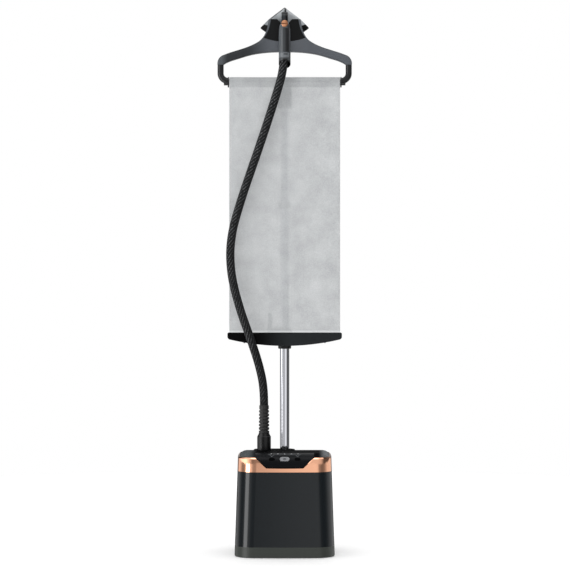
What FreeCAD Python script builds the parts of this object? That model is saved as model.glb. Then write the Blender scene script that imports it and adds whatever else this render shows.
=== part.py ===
"""Upright garment steamer with a telescopic pole, hanger head, roller press cloth and steam hose.

Millimetres. The origin is on the floor under the middle of the base, +Z is up and the front faces -Y.
"""
import FreeCAD, Part
import math
import os

V = FreeCAD.Vector
UP = V(0, 0, 1)
X_AXIS = V(1, 0, 0)
Y_AXIS = V(0, 1, 0)

# Base
TRAY_BOTTOM = 1.0
TRAY_FLOOR = 7.0
TRAY_TOP = 32.0
SHELL_TOP = 250.0
BAND_TOP = 292.0
BASE_HALF_WIDTH = 148.5        # at the tray's bottom
BASE_HALF_DEPTH = 138.0
TAPER_WIDTH = 10.0             # lost on each side between the tray's bottom and the band's top
TAPER_DEPTH = 8.0
CORNER_RADIUS = 58.0
BOW_RADIUS = 2400.0            # the four sides are slightly convex in plan
WALL = 3.0
BAND_WALL = 5.0
BAND_CHAMFER = 3.6
DECK_TOP = 303.0
DECK_WALL = 3.0
DECK_HALF = 134.2
DECK_REACH = 126.4
DECK_SHOULDER = 27.0           # width of the rounded shoulders at the sides
NOTCH_BOTTOM = 264.0
NOTCH_BOTTOM_HALF = 53.0
NOTCH_TOP_HALF = 86.5

# Control panel: a quarter round about an axis along X
PANEL_Y = -90.5
PANEL_Z = 262.0
PANEL_RADIUS = 41.0
PANEL_WALL = 3.0
PANEL_HALF = 86.0
BUTTON_ANGLE = 39.0            # degrees above the horizontal
LIGHT_ANGLE = 74.0
SIDE_BUTTON_X = 37.5
LIGHT_PITCH = 19.5
BUTTONS = {                    # x, width, height
    "power_button": (0.0, 29.0, 15.0),
    "minus_button": (-SIDE_BUTTON_X, 17.0, 9.0),
    "plus_button": (SIDE_BUTTON_X, 17.0, 9.0),
}

# Feet and transport wheels
FEET = [(112.0, -98.0), (112.0, 94.0)]
FOOT_RADIUS = 11.0
WHEEL_X = 72.0
WHEEL_Y = 123.5
WHEEL_Z = 14.5
WHEEL_RADIUS = 13.5
WHEEL_HALF = 8.0
WELL_HALF = 10.5
AXLE_RADIUS = 3.0
INLET_FRONT = 116.0

# Water tank, its lid, filler cap and carrying bail
TANK_HALF = 116.0
TANK_FRONT = 76.0
TANK_BOTTOM = 60.5
TANK_TOP = 284.0
TANK_WALL = 2.5
BAY_HALF = 118.0
BAY_FRONT = 72.0
TANK_VALVE = (60.0, 100.0)
LID_FRONT = 70.6
LID_HALF = 117.4
CAP_HALF = 17.0
CAP_FRONT = 76.0
CAP_REAR = 94.0
CAP_HINGE = (79.0, 294.6)      # y, z
CAP_PIN = 1.5
FILLER_Y = 86.0
FILLER_BORE = 8.2
BAIL_HALF = 110.0
BAIL_PIVOT_Y = 82.0
BAIL_PIVOT_Z = 296.0
BAIL_REACH = 30.0
BAIL_RADIUS = 3.0
BAIL_CORNER = 26.0
BAIL_DROOP = 5.0               # degrees below the horizontal when folded
BAIL_CLEARANCE = 1.2

# Pole
POLE_Y = 45.0
LOWER_TUBE = (14.0, 12.9, 110.0, 640.0)      # outer radius, inner radius, bottom, top
MID_TUBE = (12.5, 11.4, 540.0, 1040.0)
UPPER_TUBE = (11.0, 9.8, 960.0, 1400.0)
RUNNING_GAP = 0.1
LOWER_CLAMP = (19.5, 605.0, 655.0)           # radius, bottom, top
MID_CLAMP = (19.0, 1025.0, 1046.0)
COLLAR_BOTTOM = 1327.0
COLLAR_TOP = 1384.0
COLLAR_HALF = 21.0
CROSS_BAR = (182.0, 37.0, 51.0, 1395.0, 1411.0)     # half length, front, back, bottom, top
LEVER_HALF = 8.0
LEVER_LENGTH = 32.0
LEVER_PIN = 1.5

# Hose connector
HOSE_X = -61.5
HOSE_Y = 15.0
CONNECTOR_HOLE = 9.0
SOCKET_RADIUS = 18.5
PLATFORM_TOP = 304.0
CONNECTOR_TOP = 345.0
BOOT_BOTTOM = 354.0
BOOT_TOP = 437.0
HOSE_RADIUS = 12.5

# Roller, cloth and bar
ROLLER_Y = 16.0
ROLLER_Z = 1401.4
ROLL_RADIUS = 15.8
CLOTH_HALF = 165.0
CLOTH_THICKNESS = 0.6
CLOTH_Y = -0.4                  # middle of the cloth's thickness
BAR_TOP = 654.5
BAR_HALF = 170.3
BAR_END_BOTTOM = 635.0
BAR_MIDDLE_BOTTOM = 614.7
BAR_HALF_DEPTH = 9.0
CLOTH_BOTTOM = 632.0
CLOTH_SLOT_HALF = 0.5
ROLLER_PIN = 3.0

# Hanger
ARM_FRONT = 4.0
ARM_BACK = 28.0
HOUSING_BACK = 50.0
HOUSING_BOTTOM = 1499.0
CROWN_FRONT = -1.0
CROWN_BACK = 6.0
SHELF_Z = 1549.0
CROWN_TOP = 1588.0
LEG_OUTER = 200.5
LEG_INNER = 182.0
ARM_BOTTOM = 1452.0
BRACKET_Z = 1405.5
ARM_TOP_LINE = [(47.5, CROWN_TOP), (51.0, 1567.0), (57.3, 1547.0), (69.0, 1528.5), (88.5, 1515.3),
                (137.0, 1497.0), (180.0, 1482.5)]
ARM_LOW_LINE = [(LEG_INNER, 1454.0), (166.0, 1462.5), (137.0, 1472.0), (109.0, 1480.6), (80.0, 1486.6),
                (40.0, 1490.7), (0.0, 1491.4)]

# Steam head
HANDLE_Y = -22.0
HANDLE_RADIUS = 17.6
HANDLE_BORE = 13.6
HANDLE_TOP = 1577.0
MOUTH_BORE = 15.3
HEAD_SEAT = 1549.6
HEAD_APEX = 1627.6
TRIGGER_Z = 1569.2
TRIGGER_STEM = 4.0
TRIGGER_RADIUS = 9.7
SOLE_BACK = 42.0
STEAM_HOLES = [(0, 1608), (-14, 1592), (14, 1592), (-30, 1577), (30, 1577), (0, 1580), (-46, 1564),
               (46, 1564), (-16, 1563), (16, 1563)]

# Centre line of the hose, from the top of its boot to inside the handle
HOSE_ROUTE = [
    (-61.5, 15.0, 437.0),
    (-61.5, 15.0, 487.0),
    (-75.0, -5.0, 555.0),
    (-98.0, -31.0, 628.0),
    (-136.0, -31.0, 733.0),
    (-161.3, -23.0, 836.0),
    (-161.3, -20.0, 938.0),
    (-128.0, -19.0, 1055.0),
    (-72.0, -19.0, 1215.0),
    (-24.0, -20.0, 1362.0),
    (0.0, -22.0, 1449.0),
    (0.0, -22.0, 1526.0),
]


# ---------------------------------------------------------------- helpers

def in_plan(z):
    """Place (a, b) as (x, y) at height z."""
    return lambda a, b: V(a, b, z)


def in_front(y):
    """Place (a, b) as (x, z) at depth y."""
    return lambda a, b: V(a, y, b)


def in_side(x):
    """Place (a, b) as (y, z) at the given x."""
    return lambda a, b: V(x, a, b)


def rounded_wire(points, radii, place):
    """Closed wire of straight runs and tangent corner arcs."""
    corners = []
    count = len(points)
    for i in range(count):
        here = V(points[i][0], points[i][1], 0)
        before = V(points[i - 1][0], points[i - 1][1], 0)
        after = V(points[(i + 1) % count][0], points[(i + 1) % count][1], 0)
        radius = radii[i]
        if radius == 0:
            corners.append((here, None, here))
            continue
        back = (before - here).normalize()
        ahead = (after - here).normalize()
        half = back.getAngle(ahead) / 2
        cut = radius / math.tan(half)
        inward = (back + ahead).normalize()
        middle = here + inward * (radius / math.sin(half) - radius)
        corners.append((here + back * cut, middle, here + ahead * cut))
    edges = []
    for i in range(count):
        start, middle, end = corners[i]
        following = corners[(i + 1) % count][0]
        if middle is not None:
            arc = [place(p.x, p.y) for p in (start, middle, end)]
            edges.append(Part.Arc(*arc).toShape())
        if (following - end).Length > 1e-6:
            edges.append(Part.makeLine(place(end.x, end.y), place(following.x, following.y)))
    return Part.Wire(edges)


def prism(points, radii, place, direction):
    """Extruded polygon with rounded corners. One radius serves all corners."""
    if not isinstance(radii, (list, tuple)):
        radii = [radii] * len(points)
    return Part.Face(rounded_wire(points, radii, place)).extrude(direction)


def block(x0, x1, y0, y1, z0, z1):
    """Box between two corners."""
    return Part.makeBox(x1 - x0, y1 - y0, z1 - z0, V(x0, y0, z0))


def rod(radius, start, end):
    """Round rod between two points."""
    return Part.makeCylinder(radius, (end - start).Length, start, end - start)


def upright(radius, x, y, z0, z1):
    """Upright round rod."""
    return rod(radius, V(x, y, z0), V(x, y, z1))


def sleeve(outer, inner, x, y, z0, z1):
    """Upright tube."""
    return upright(outer, x, y, z0, z1).cut(upright(inner, x, y, z0 - 1, z1 + 1))


def turned(profile, x, y):
    """Solid turned about an upright axis, from (radius, z) points."""
    points = [V(x + r, y, z) for r, z in profile]
    face = Part.Face(Part.makePolygon(points + [points[0]]))
    return face.revolve(V(x, y, 0), UP, 360)


def plan_wire(half_width, front, rear, radius, bow, z):
    """Rounded rectangle in plan at height z, with convex sides that run smoothly into its corners."""
    middle = (front + rear) / 2
    half_depth = (rear - front) / 2
    corner_x = half_width - radius
    corner_y = half_depth - radius
    for _ in range(20):
        corner_x = half_width - bow + math.sqrt((bow - radius) ** 2 - corner_y ** 2)
        corner_y = half_depth - bow + math.sqrt((bow - radius) ** 2 - corner_x ** 2)
    corner = V(corner_x, corner_y, 0)
    from_side = V(half_width - bow, 0, 0)
    from_rear = V(0, half_depth - bow, 0)
    side_end = corner + (corner - from_side).normalize() * radius
    rear_end = corner + (corner - from_rear).normalize() * radius
    bend = corner + ((side_end + rear_end) * 0.5 - corner).normalize() * radius

    def at(point, sign_x, sign_y):
        return V(point.x * sign_x, middle + point.y * sign_y, z)

    edges = []
    for sign_x, sign_y in ((1, 1), (-1, 1), (-1, -1), (1, -1)):
        corner_run = [at(side_end, sign_x, sign_y), at(bend, sign_x, sign_y), at(rear_end, sign_x, sign_y)]
        if sign_x == sign_y:
            edges.append(Part.Arc(*corner_run).toShape())
            edges.append(Part.Arc(corner_run[2], V(0, middle + half_depth * sign_y, z),
                                  at(rear_end, -sign_x, sign_y)).toShape())
        else:
            edges.append(Part.Arc(*reversed(corner_run)).toShape())
            edges.append(Part.Arc(corner_run[0], V(half_width * sign_x, middle, z),
                                  at(side_end, sign_x, -sign_y)).toShape())
    return Part.Wire(edges)


def base_wire(z, inset):
    """The base's tapered outline at height z, moved inwards by inset."""
    fraction = (z - TRAY_BOTTOM) / (BAND_TOP - TRAY_BOTTOM)
    half_width = BASE_HALF_WIDTH - TAPER_WIDTH * fraction - inset
    half_depth = BASE_HALF_DEPTH - TAPER_DEPTH * fraction - inset
    return plan_wire(half_width, -half_depth, half_depth, CORNER_RADIUS - inset, BOW_RADIUS - inset, z)


def base_solid(z0, z1, inset0=0.0, inset1=None):
    """Slice of the tapered base between two heights."""
    inset1 = inset0 if inset1 is None else inset1
    return Part.makeLoft([base_wire(z0, inset0), base_wire(z1, inset1)], True, True)


def dome(offset):
    """The crowned deck as a solid, moved inwards and down by offset."""
    low = 290.0 - offset
    top = DECK_TOP - offset
    half = DECK_HALF - offset
    shoulder = half - DECK_SHOULDER
    front_view = [(-half - 9, low - 9), (half + 9, low - 9), (half + 9, low), (half, low), (shoulder, top),
                  (-shoulder, top), (-half, low), (-half - 9, low)]
    reach = DECK_REACH - offset
    side_view = [(-reach - 9, low - 9), (reach + 9, low - 9), (reach + 9, low), (reach, low),
                 (70.0, top - 3.8), (12.0, top), (-98.0 + offset, top), (-reach, low), (-reach - 9, low)]
    across = prism(front_view, [0, 0, 0, 0, 26.0, 26.0, 0, 0], in_front(-160.0), V(0, 320, 0))
    along = prism(side_view, [0, 0, 0, 0, 200.0, 300.0, 26.0, 0, 0], in_side(-160.0), V(320, 0, 0))
    return base_solid(low, DECK_TOP + 5.0, BAND_WALL + 0.4 + offset).common(across).common(along)


def on_panel(shape, x, angle):
    """Turn a shape made along +Z so that it points out of the panel at this angle."""
    turned_shape = shape.copy()
    turned_shape.Placement = FreeCAD.Placement(
        V(x, PANEL_Y, PANEL_Z), FreeCAD.Rotation(X_AXIS, 90 - angle))
    return turned_shape


def pill(width, height, z0, z1):
    """Stadium-shaped prism along Z."""
    a = width / 2
    b = height / 2
    corners = [(-a, -b), (a, -b), (a, b), (-a, b)]
    return prism(corners, b * 0.999, in_plan(z0), V(0, 0, z1 - z0))


def mirrored(shape):
    """Mirror image across the plane x = 0."""
    return shape.mirror(V(0, 0, 0), X_AXIS)


def both_sides(shape):
    """A shape and its mirror image as two separate solids."""
    return Part.makeCompound([shape, mirrored(shape)])


def spline(points, place):
    """Smooth edge through the points."""
    curve = Part.BSplineCurve()
    curve.interpolate([place(a, b) for a, b in points])
    return curve.toShape()


def smooth_route(points):
    """Straight runs joined by tangent arcs, and the arcs' radii."""
    nodes = [V(*p) for p in points]
    edges = []
    radii = []
    at = nodes[0]
    for before, here, after in zip(nodes, nodes[1:], nodes[2:]):
        back = (before - here).normalize()
        ahead = (after - here).normalize()
        turn = math.pi - back.getAngle(ahead)
        cut = 0.45 * min((before - here).Length, (after - here).Length)
        radius = cut / math.tan(turn / 2)
        start = here + back * cut
        end = here + ahead * cut
        inward = (back + ahead).normalize()
        middle = here + inward * (radius / math.cos(turn / 2) - radius)
        edges.append(Part.makeLine(at, start))
        edges.append(Part.Arc(start, middle, end).toShape())
        radii.append(radius)
        at = end
    edges.append(Part.makeLine(at, nodes[-1]))
    return Part.Wire(edges), radii


# ---------------------------------------------------------------- base

def feet():
    solids = []
    for x, y in FEET:
        profile = [(0, 0), (FOOT_RADIUS - 1.5, 0), (FOOT_RADIUS, 1.5), (FOOT_RADIUS, 5.0), (0, 5.0)]
        foot = turned(profile, x, y)
        solids += [foot, mirrored(foot)]
    return Part.makeCompound(solids)


def tray():
    outer = base_solid(TRAY_BOTTOM, TRAY_TOP)
    edges = [e for e in outer.Edges if abs(e.BoundBox.ZMax - TRAY_BOTTOM) < 0.01]
    outer = outer.makeFillet(3.0, edges)
    hollow = base_solid(TRAY_FLOOR, TRAY_TOP + 1.0, WALL)
    shape = outer.cut(hollow)
    heel = prism([(126.0, 0.0), (140.0, 0.0), (140.0, 15.0)], 0, in_side(-150.0), V(300, 0, 0))
    shape = shape.cut(heel)
    for side in (-1, 1):
        x = side * WHEEL_X
        well = block(x - WELL_HALF - 2.5, x + WELL_HALF + 2.5, 104.0, 133.0, TRAY_BOTTOM + 0.5, 30.5)
        inside = base_solid(TRAY_BOTTOM + 0.2, TRAY_TOP + 0.5, 0.5)
        shape = shape.fuse(well.common(inside))
        shape = shape.cut(block(x - WELL_HALF, x + WELL_HALF, 108.0, 150.0, 0.0, 28.8))
        shape = shape.cut(rod(AXLE_RADIUS, V(x - WELL_HALF - 2.6, WHEEL_Y, WHEEL_Z),
                              V(x + WELL_HALF + 2.6, WHEEL_Y, WHEEL_Z)))
        for foot_x, foot_y in FEET:
            shape = shape.cut(upright(FOOT_RADIUS, side * foot_x, foot_y, 0.0, 5.0))
    return shape.cut(heel)


def wheel():
    """Right-hand transport wheel with a rounded tread."""
    half = WHEEL_HALF
    hole = AXLE_RADIUS + 0.06
    profile = [(hole, -half), (9.5, -half), (WHEEL_RADIUS - 1.5, -half + 1.0), (WHEEL_RADIUS, -half + 2.5),
               (WHEEL_RADIUS, half - 2.5), (WHEEL_RADIUS - 1.5, half - 1.0), (9.5, half), (hole, half)]
    points = [V(WHEEL_X + a, WHEEL_Y, WHEEL_Z + r) for r, a in profile]
    face = Part.Face(Part.makePolygon(points + [points[0]]))
    return face.revolve(V(0, WHEEL_Y, WHEEL_Z), X_AXIS, 360)


def wheel_axle():
    reach = WELL_HALF + 2.5
    return rod(AXLE_RADIUS, V(WHEEL_X - reach, WHEEL_Y, WHEEL_Z), V(WHEEL_X + reach, WHEEL_Y, WHEEL_Z))


def shell():
    shape = base_solid(TRAY_TOP, SHELL_TOP).cut(base_solid(TRAY_TOP - 1, SHELL_TOP + 1, WALL))
    shape = shape.cut(block(-BAY_HALF, BAY_HALF, 80.0, 150.0, TANK_BOTTOM - 4.5, SHELL_TOP + 1))
    return shape.cut(inlet_block(142.0))


def inlet_block(rear):
    """The mains socket's housing, low on the rear face, out to y=rear."""
    corners = [(-64, 37), (-36, 37), (-36, 55), (-64, 55)]
    return prism(corners, 3.0, in_front(INLET_FRONT), V(0, rear - INLET_FRONT, 0))


def cord_inlet():
    corners = [(-61, 40), (-39, 40), (-39, 52), (-61, 52)]
    floor_y = INLET_FRONT + 6.0
    socket = prism(corners, 5.0, in_front(floor_y), V(0, 30, 0))
    shape = inlet_block(136.4).cut(socket)
    for x in (-54.0, -46.0):
        shape = shape.fuse(rod(1.2, V(x, floor_y - 1.0, 46.0), V(x, floor_y + 8.0, 46.0)))
    return shape


def notch_points(grow):
    """The front notch's outline, grown outwards by the given amount."""
    top = BAND_TOP + 20.0
    slope = (NOTCH_TOP_HALF - NOTCH_BOTTOM_HALF) / (BAND_TOP - NOTCH_BOTTOM)
    low = NOTCH_BOTTOM - grow
    low_half = NOTCH_BOTTOM_HALF + grow * (math.hypot(1.0, slope) - slope)
    top_half = low_half + slope * (top - low)
    return [(-low_half, low), (low_half, low), (top_half, top), (-top_half, top)]


def band():
    edge = BAND_TOP - BAND_CHAMFER
    outer = base_solid(SHELL_TOP, edge).fuse(base_solid(edge, BAND_TOP, 0.0, BAND_CHAMFER))
    shape = outer.cut(base_solid(SHELL_TOP - 1, BAND_TOP + 1, BAND_WALL))
    front = -BASE_HALF_DEPTH
    shape = shape.cut(prism(notch_points(0.0), 0, in_front(front), V(0, 40, 0)))
    wide = rounded_wire(notch_points(BAND_CHAMFER + 1.0), [0] * 4, in_front(-132.2))
    narrow = rounded_wire(notch_points(0.0), [0] * 4, in_front(-132.2 + BAND_CHAMFER + 1.0))
    shape = shape.cut(Part.makeLoft([wide, narrow], True, True))
    return shape.cut(block(-BAY_HALF, BAY_HALF, 80.0, 150.0, SHELL_TOP - 1, BAND_TOP + 1)).removeSplitter()


def deck():
    """Crowned cover with a skirt inside the band, open for the tank at the rear and for the panel in front."""
    crown = dome(0.0).cut(dome(DECK_WALL))
    skirt = base_solid(NOTCH_BOTTOM - 12.0, 290.5, BAND_WALL).cut(
        base_solid(NOTCH_BOTTOM - 13.0, 291.5, BAND_WALL + 2.5))
    rim = base_solid(287.5, 290.5, BAND_WALL).cut(base_solid(286.5, 291.5, BAND_WALL + 8.0))
    openings = [
        block(-BAY_HALF, BAY_HALF, BAY_FRONT - 2.0, 150.0, 200.0, 320.0),
        block(-PANEL_HALF, PANEL_HALF, -150.0, PANEL_Y, 200.0, 320.0),
        upright(CONNECTOR_HOLE, HOSE_X, HOSE_Y, 280.0, 320.0),
        upright(SOCKET_RADIUS, 0.0, POLE_Y, 280.0, 320.0),
    ]
    trimmed = []
    for piece in (crown, skirt, rim):
        for opening in openings:
            piece = piece.cut(opening)
        trimmed.append(piece)
    crown, skirt, rim = trimmed
    return crown.fuse(skirt.fuse(rim)).removeSplitter()


def control_panel():
    outer = rod(PANEL_RADIUS, V(-PANEL_HALF, PANEL_Y, PANEL_Z), V(PANEL_HALF, PANEL_Y, PANEL_Z))
    inner = rod(PANEL_RADIUS - PANEL_WALL, V(-PANEL_HALF, PANEL_Y, PANEL_Z), V(PANEL_HALF, PANEL_Y, PANEL_Z))
    quarter = block(-PANEL_HALF, PANEL_HALF, -150.0, PANEL_Y, PANEL_Z - 10.0, 320.0)
    low = NOTCH_BOTTOM
    front_view = [(-NOTCH_BOTTOM_HALF, low), (NOTCH_BOTTOM_HALF, low), (PANEL_HALF, BAND_TOP - 0.4),
                  (PANEL_HALF, 310.0), (-PANEL_HALF, 310.0), (-PANEL_HALF, BAND_TOP - 0.4)]
    window = prism(front_view, 0, in_front(-150.0), V(0, 90, 0))
    shape = outer.cut(inner).common(quarter).common(window)
    for x, width, height in BUTTONS.values():
        hole = on_panel(pill(width + 0.8, height + 0.8, 30.0, 50.0), x, BUTTON_ANGLE)
        shape = shape.cut(hole)
    return shape.cut(level_lights(34.0, 50.0))


def button(name):
    x, width, height = BUTTONS[name]
    cap = pill(width, height, 36.0, PANEL_RADIUS + 1.2)
    edges = [e for e in cap.Edges if e.BoundBox.ZMin > PANEL_RADIUS + 1.1]
    cap = cap.makeFillet(0.8, edges)
    stem = pill(width * 0.4, height * 0.5, 32.5, 36.5)
    return on_panel(cap.fuse(stem), x, BUTTON_ANGLE)


def level_lights(z0, z1):
    lights = []
    for step in range(-2, 3):
        lights.append(on_panel(pill(3.0, 2.2, z0, z1), step * LIGHT_PITCH, LIGHT_ANGLE))
    return Part.makeCompound(lights)


def control_board():
    return on_panel(block(-58.0, 58.0, -13.0, 13.0, 28.0, 29.6), 0.0, BUTTON_ANGLE)


def boiler():
    body = prism([(-116, -104), (-12, -104), (-12, 16), (-116, 16)], 18.0, in_plan(40.0), V(0, 0, 62))
    flange = prism([(-120, -108), (-8, -108), (-8, 20), (-120, 20)], 20.0, in_plan(68.0), V(0, 0, 5))
    shape = body.fuse(flange)
    for x in (-98.0, -30.0):
        for y in (-86.0, -2.0):
            shape = shape.fuse(upright(6.0, x, y, TRAY_FLOOR, 41.0))
    return shape


def pump():
    """Pump on its foot, with the pipe that feeds it from the tank's dock."""
    can = rod(22.0, V(62.0, -104.0, 62.0), V(62.0, -50.0, 62.0))
    foot = block(44.0, 80.0, -98.0, -56.0, TRAY_FLOOR, 50.0)
    pipe = rod(4.0, V(TANK_VALVE[0], -60.0, 50.0), V(TANK_VALVE[0], TANK_VALVE[1] - 13.5, 50.0))
    return can.fuse(foot).fuse(pipe)


def steam_pipe():
    return upright(5.0, HOSE_X, HOSE_Y, 102.0, 296.0)


def tank_bay():
    """Liner that the water tank stands in: a floor with the dock's cup, a front wall and two cheeks."""
    floor = block(-BAY_HALF - 2.5, BAY_HALF + 2.5, BAY_FRONT - 2.5, 150.0, 57.0, 60.0)
    floor = floor.common(base_solid(TRAY_TOP, SHELL_TOP))
    wall = block(-BAY_HALF - 2.5, BAY_HALF + 2.5, BAY_FRONT - 2.5, BAY_FRONT, 57.0, 262.0)
    shape = floor.fuse(wall)
    for side in (-1, 1):
        x0 = side * (BAY_HALF + 1.25) - 1.25
        cheek = block(x0, x0 + 2.5, BAY_FRONT - 2.5, 150.0, 57.0, 262.0)
        shape = shape.fuse(cheek.common(base_solid(TRAY_TOP, BAND_TOP, BAND_WALL + 2.6)))
    rim = base_solid(TRAY_TOP, SHELL_TOP, 0.0).cut(base_solid(TRAY_TOP - 1, SHELL_TOP + 1, WALL))
    shape = shape.cut(rim.cut(block(-BAY_HALF, BAY_HALF, 80.0, 150.0, TANK_BOTTOM - 4.5, 260.0)))
    shape = shape.fuse(upright(13.5, TANK_VALVE[0], TANK_VALVE[1], 43.0, 58.0))
    return shape.cut(upright(9.8, TANK_VALVE[0], TANK_VALVE[1], 47.0, 62.0))


def tank_space(inset):
    """The tank's outer form: flat front and sides, with the base's own rear face."""
    half = TANK_HALF - inset
    form = block(-half, half, TANK_FRONT + inset, 150.0, TANK_BOTTOM + inset, TANK_TOP)
    return form.common(base_solid(TRAY_TOP, BAND_TOP, inset))


def tank():
    shape = tank_space(0.0).cut(tank_space(TANK_WALL))
    x, y = TANK_VALVE
    return shape.cut(upright(6.0, x, y, TANK_BOTTOM - 1, TANK_BOTTOM + TANK_WALL + 1))


def tank_valve():
    x, y = TANK_VALVE
    profile = [(0, 49.0), (9.0, 49.0), (9.0, TANK_BOTTOM), (6.0, TANK_BOTTOM), (6.0, TANK_BOTTOM + 8.0),
               (0, TANK_BOTTOM + 8.0)]
    return turned(profile, x, y)


def bail_outline(margin, front):
    """Plan of the folded bail's outer or inner side, moved outwards by margin."""
    half = BAIL_HALF + margin
    rear = BAIL_PIVOT_Y + BAIL_REACH + margin
    corners = [(-half, front), (half, front), (half, rear), (-half, rear)]
    return corners, [0, 0, BAIL_CORNER + margin, BAIL_CORNER + margin]


def bail_trough():
    """Recess in the lid for the bail, with room for fingers in front of its cross bar."""
    margin = BAIL_RADIUS + BAIL_CLEARANCE
    low = BAIL_PIVOT_Z - 9.2
    front = BAIL_PIVOT_Y - 7.0
    outer = prism(*bail_outline(margin, front), in_plan(low), V(0, 0, 40))
    inner = prism(*bail_outline(-margin, front - 1.0), in_plan(low - 1), V(0, 0, 42))
    rear = BAIL_PIVOT_Y + BAIL_REACH
    grip = prism([(-50, rear - 14.0), (50, rear - 14.0), (50, rear), (-50, rear)], [5.0, 5.0, 0, 0],
                 in_plan(low), V(0, 0, 40))
    return outer.cut(inner).fuse(grip)


def lid():
    """Rear part of the deck, carried by the tank, with a filler mouth and a recess for the bail."""
    crown = dome(0.0).common(block(-LID_HALF, LID_HALF, LID_FRONT, 150.0, 289.0, 320.0))
    plate = base_solid(TANK_TOP, 290.0, BAND_WALL + 0.6).common(
        block(-TANK_HALF, TANK_HALF, TANK_FRONT, 150.0, 280.0, 300.0))
    plug = base_solid(TANK_TOP - 4.0, TANK_TOP, BAND_WALL + 4.0).common(
        block(-TANK_HALF + 4.0, TANK_HALF - 4.0, TANK_FRONT + 4.0, 150.0, 270.0, 300.0))
    shape = crown.fuse(plate).fuse(plug)
    shape = shape.cut(block(-CAP_HALF - 0.5, CAP_HALF + 0.5, CAP_FRONT - 0.5, CAP_REAR + 1.0, 290.0, 310.0))
    shape = shape.cut(upright(FILLER_BORE, 0.0, FILLER_Y, 270.0, 300.0))
    shape = shape.cut(bail_trough())
    y, z = CAP_HINGE
    shape = shape.cut(rod(CAP_PIN + 0.06, V(-CAP_HALF - 3.0, y, z), V(CAP_HALF + 3.0, y, z)))
    for side in (-1, 1):
        shape = shape.cut(rod(2.06, V(side * (BAIL_HALF - 13.0), BAIL_PIVOT_Y, BAIL_PIVOT_Z - 3.0),
                              V(side * (BAIL_HALF - 3.0), BAIL_PIVOT_Y, BAIL_PIVOT_Z - 3.0)))
    return shape.removeSplitter()


def bail():
    """U-shaped carrying handle, folded into its recess. It turns about the line of its two eyes."""
    y, z = BAIL_PIVOT_Y, BAIL_PIVOT_Z - 3.0
    rear = y + BAIL_REACH
    run = BAIL_HALF - BAIL_CORNER
    turn = math.sqrt(0.5) * BAIL_CORNER
    right = [V(BAIL_HALF, y, z), V(BAIL_HALF, rear - BAIL_CORNER, z),
             V(run + turn, rear - BAIL_CORNER + turn, z), V(run, rear, z)]
    left = [V(-p.x, p.y, p.z) for p in right]
    path = Part.Wire([
        Part.makeLine(right[0], right[1]), Part.Arc(*right[1:]).toShape(), Part.makeLine(right[3], left[3]),
        Part.Arc(left[3], left[2], left[1]).toShape(), Part.makeLine(left[1], left[0]),
    ])
    profile = Part.Wire([Part.makeCircle(BAIL_RADIUS, right[0], Y_AXIS)])
    shape = path.makePipeShell([profile], True, False)
    for side in (-1, 1):
        shape = shape.fuse(rod(5.0, V(side * (BAIL_HALF - 3.0), y, z), V(side * (BAIL_HALF + 3.0), y, z)))
        shape = shape.fuse(rod(2.0, V(side * (BAIL_HALF - 12.0), y, z), V(side * (BAIL_HALF - 2.0), y, z)))
    shape.rotate(V(0, y, z), X_AXIS, -BAIL_DROOP)
    return shape


def filler_cap():
    """Hinged flap over the filler mouth, turning on a pin along its front edge."""
    y, z = CAP_HINGE
    flap = block(-CAP_HALF, CAP_HALF, y, CAP_REAR, 290.3, 310.0).common(dome(0.0))
    barrel = rod(2.9, V(-CAP_HALF, y, z), V(CAP_HALF, y, z))
    pin = rod(CAP_PIN, V(-CAP_HALF - 2.5, y, z), V(CAP_HALF + 2.5, y, z))
    plug = turned([(0, 286.5), (5.4, 286.5), (6.2, 288.0), (6.2, 291.0), (0, 291.0)], 0.0, FILLER_Y)
    return flap.fuse(barrel).fuse(pin).fuse(plug)


def pole_socket():
    """Upright sleeve for the pole with the low platform that carries the hose connector."""
    shape = upright(SOCKET_RADIUS, 0.0, POLE_Y, 104.0, 300.0)
    platform = prism([(-93, -17), (31, -17), (31, 68), (-93, 68)], 22.0, in_plan(290.0),
                     V(0, 0, PLATFORM_TOP - 290.0))
    top_edges = [e for e in platform.Edges if e.BoundBox.ZMin > PLATFORM_TOP - 0.1]
    platform = platform.makeFillet(3.0, top_edges)
    platform = platform.cut(dome(0.0))
    shape = shape.fuse(platform)
    shape = shape.cut(upright(LOWER_TUBE[0], 0.0, POLE_Y, LOWER_TUBE[2], 320.0))
    shape = shape.cut(upright(CONNECTOR_HOLE, HOSE_X, HOSE_Y, 280.0, 320.0))
    return shape.removeSplitter()


def hose_connector():
    profile = [(5.0, 280.0), (CONNECTOR_HOLE, 280.0), (CONNECTOR_HOLE, PLATFORM_TOP), (20.5, PLATFORM_TOP),
               (20.5, CONNECTOR_TOP - 1.0), (19.5, CONNECTOR_TOP), (15.5, BOOT_BOTTOM), (5.0, BOOT_BOTTOM)]
    return turned(profile, HOSE_X, HOSE_Y)


def hose_boot():
    """Strain relief: seven ribs under a plain cuff."""
    pitch = 10.2
    groove = 3.2
    profile = [(0.0, BOOT_BOTTOM)]
    z = BOOT_BOTTOM
    for rib in range(7):
        radius = 15.6 - 0.12 * rib
        profile += [(radius - 0.8, z), (radius, z + 1.0), (radius, z + pitch - groove - 1.0),
                    (radius - 0.8, z + pitch - groove), (12.2, z + pitch - groove), (12.2, z + pitch)]
        z += pitch
    profile += [(14.3, z), (14.3, BOOT_TOP - 1.0), (13.3, BOOT_TOP), (0.0, BOOT_TOP)]
    return turned(profile, HOSE_X, HOSE_Y)


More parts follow.
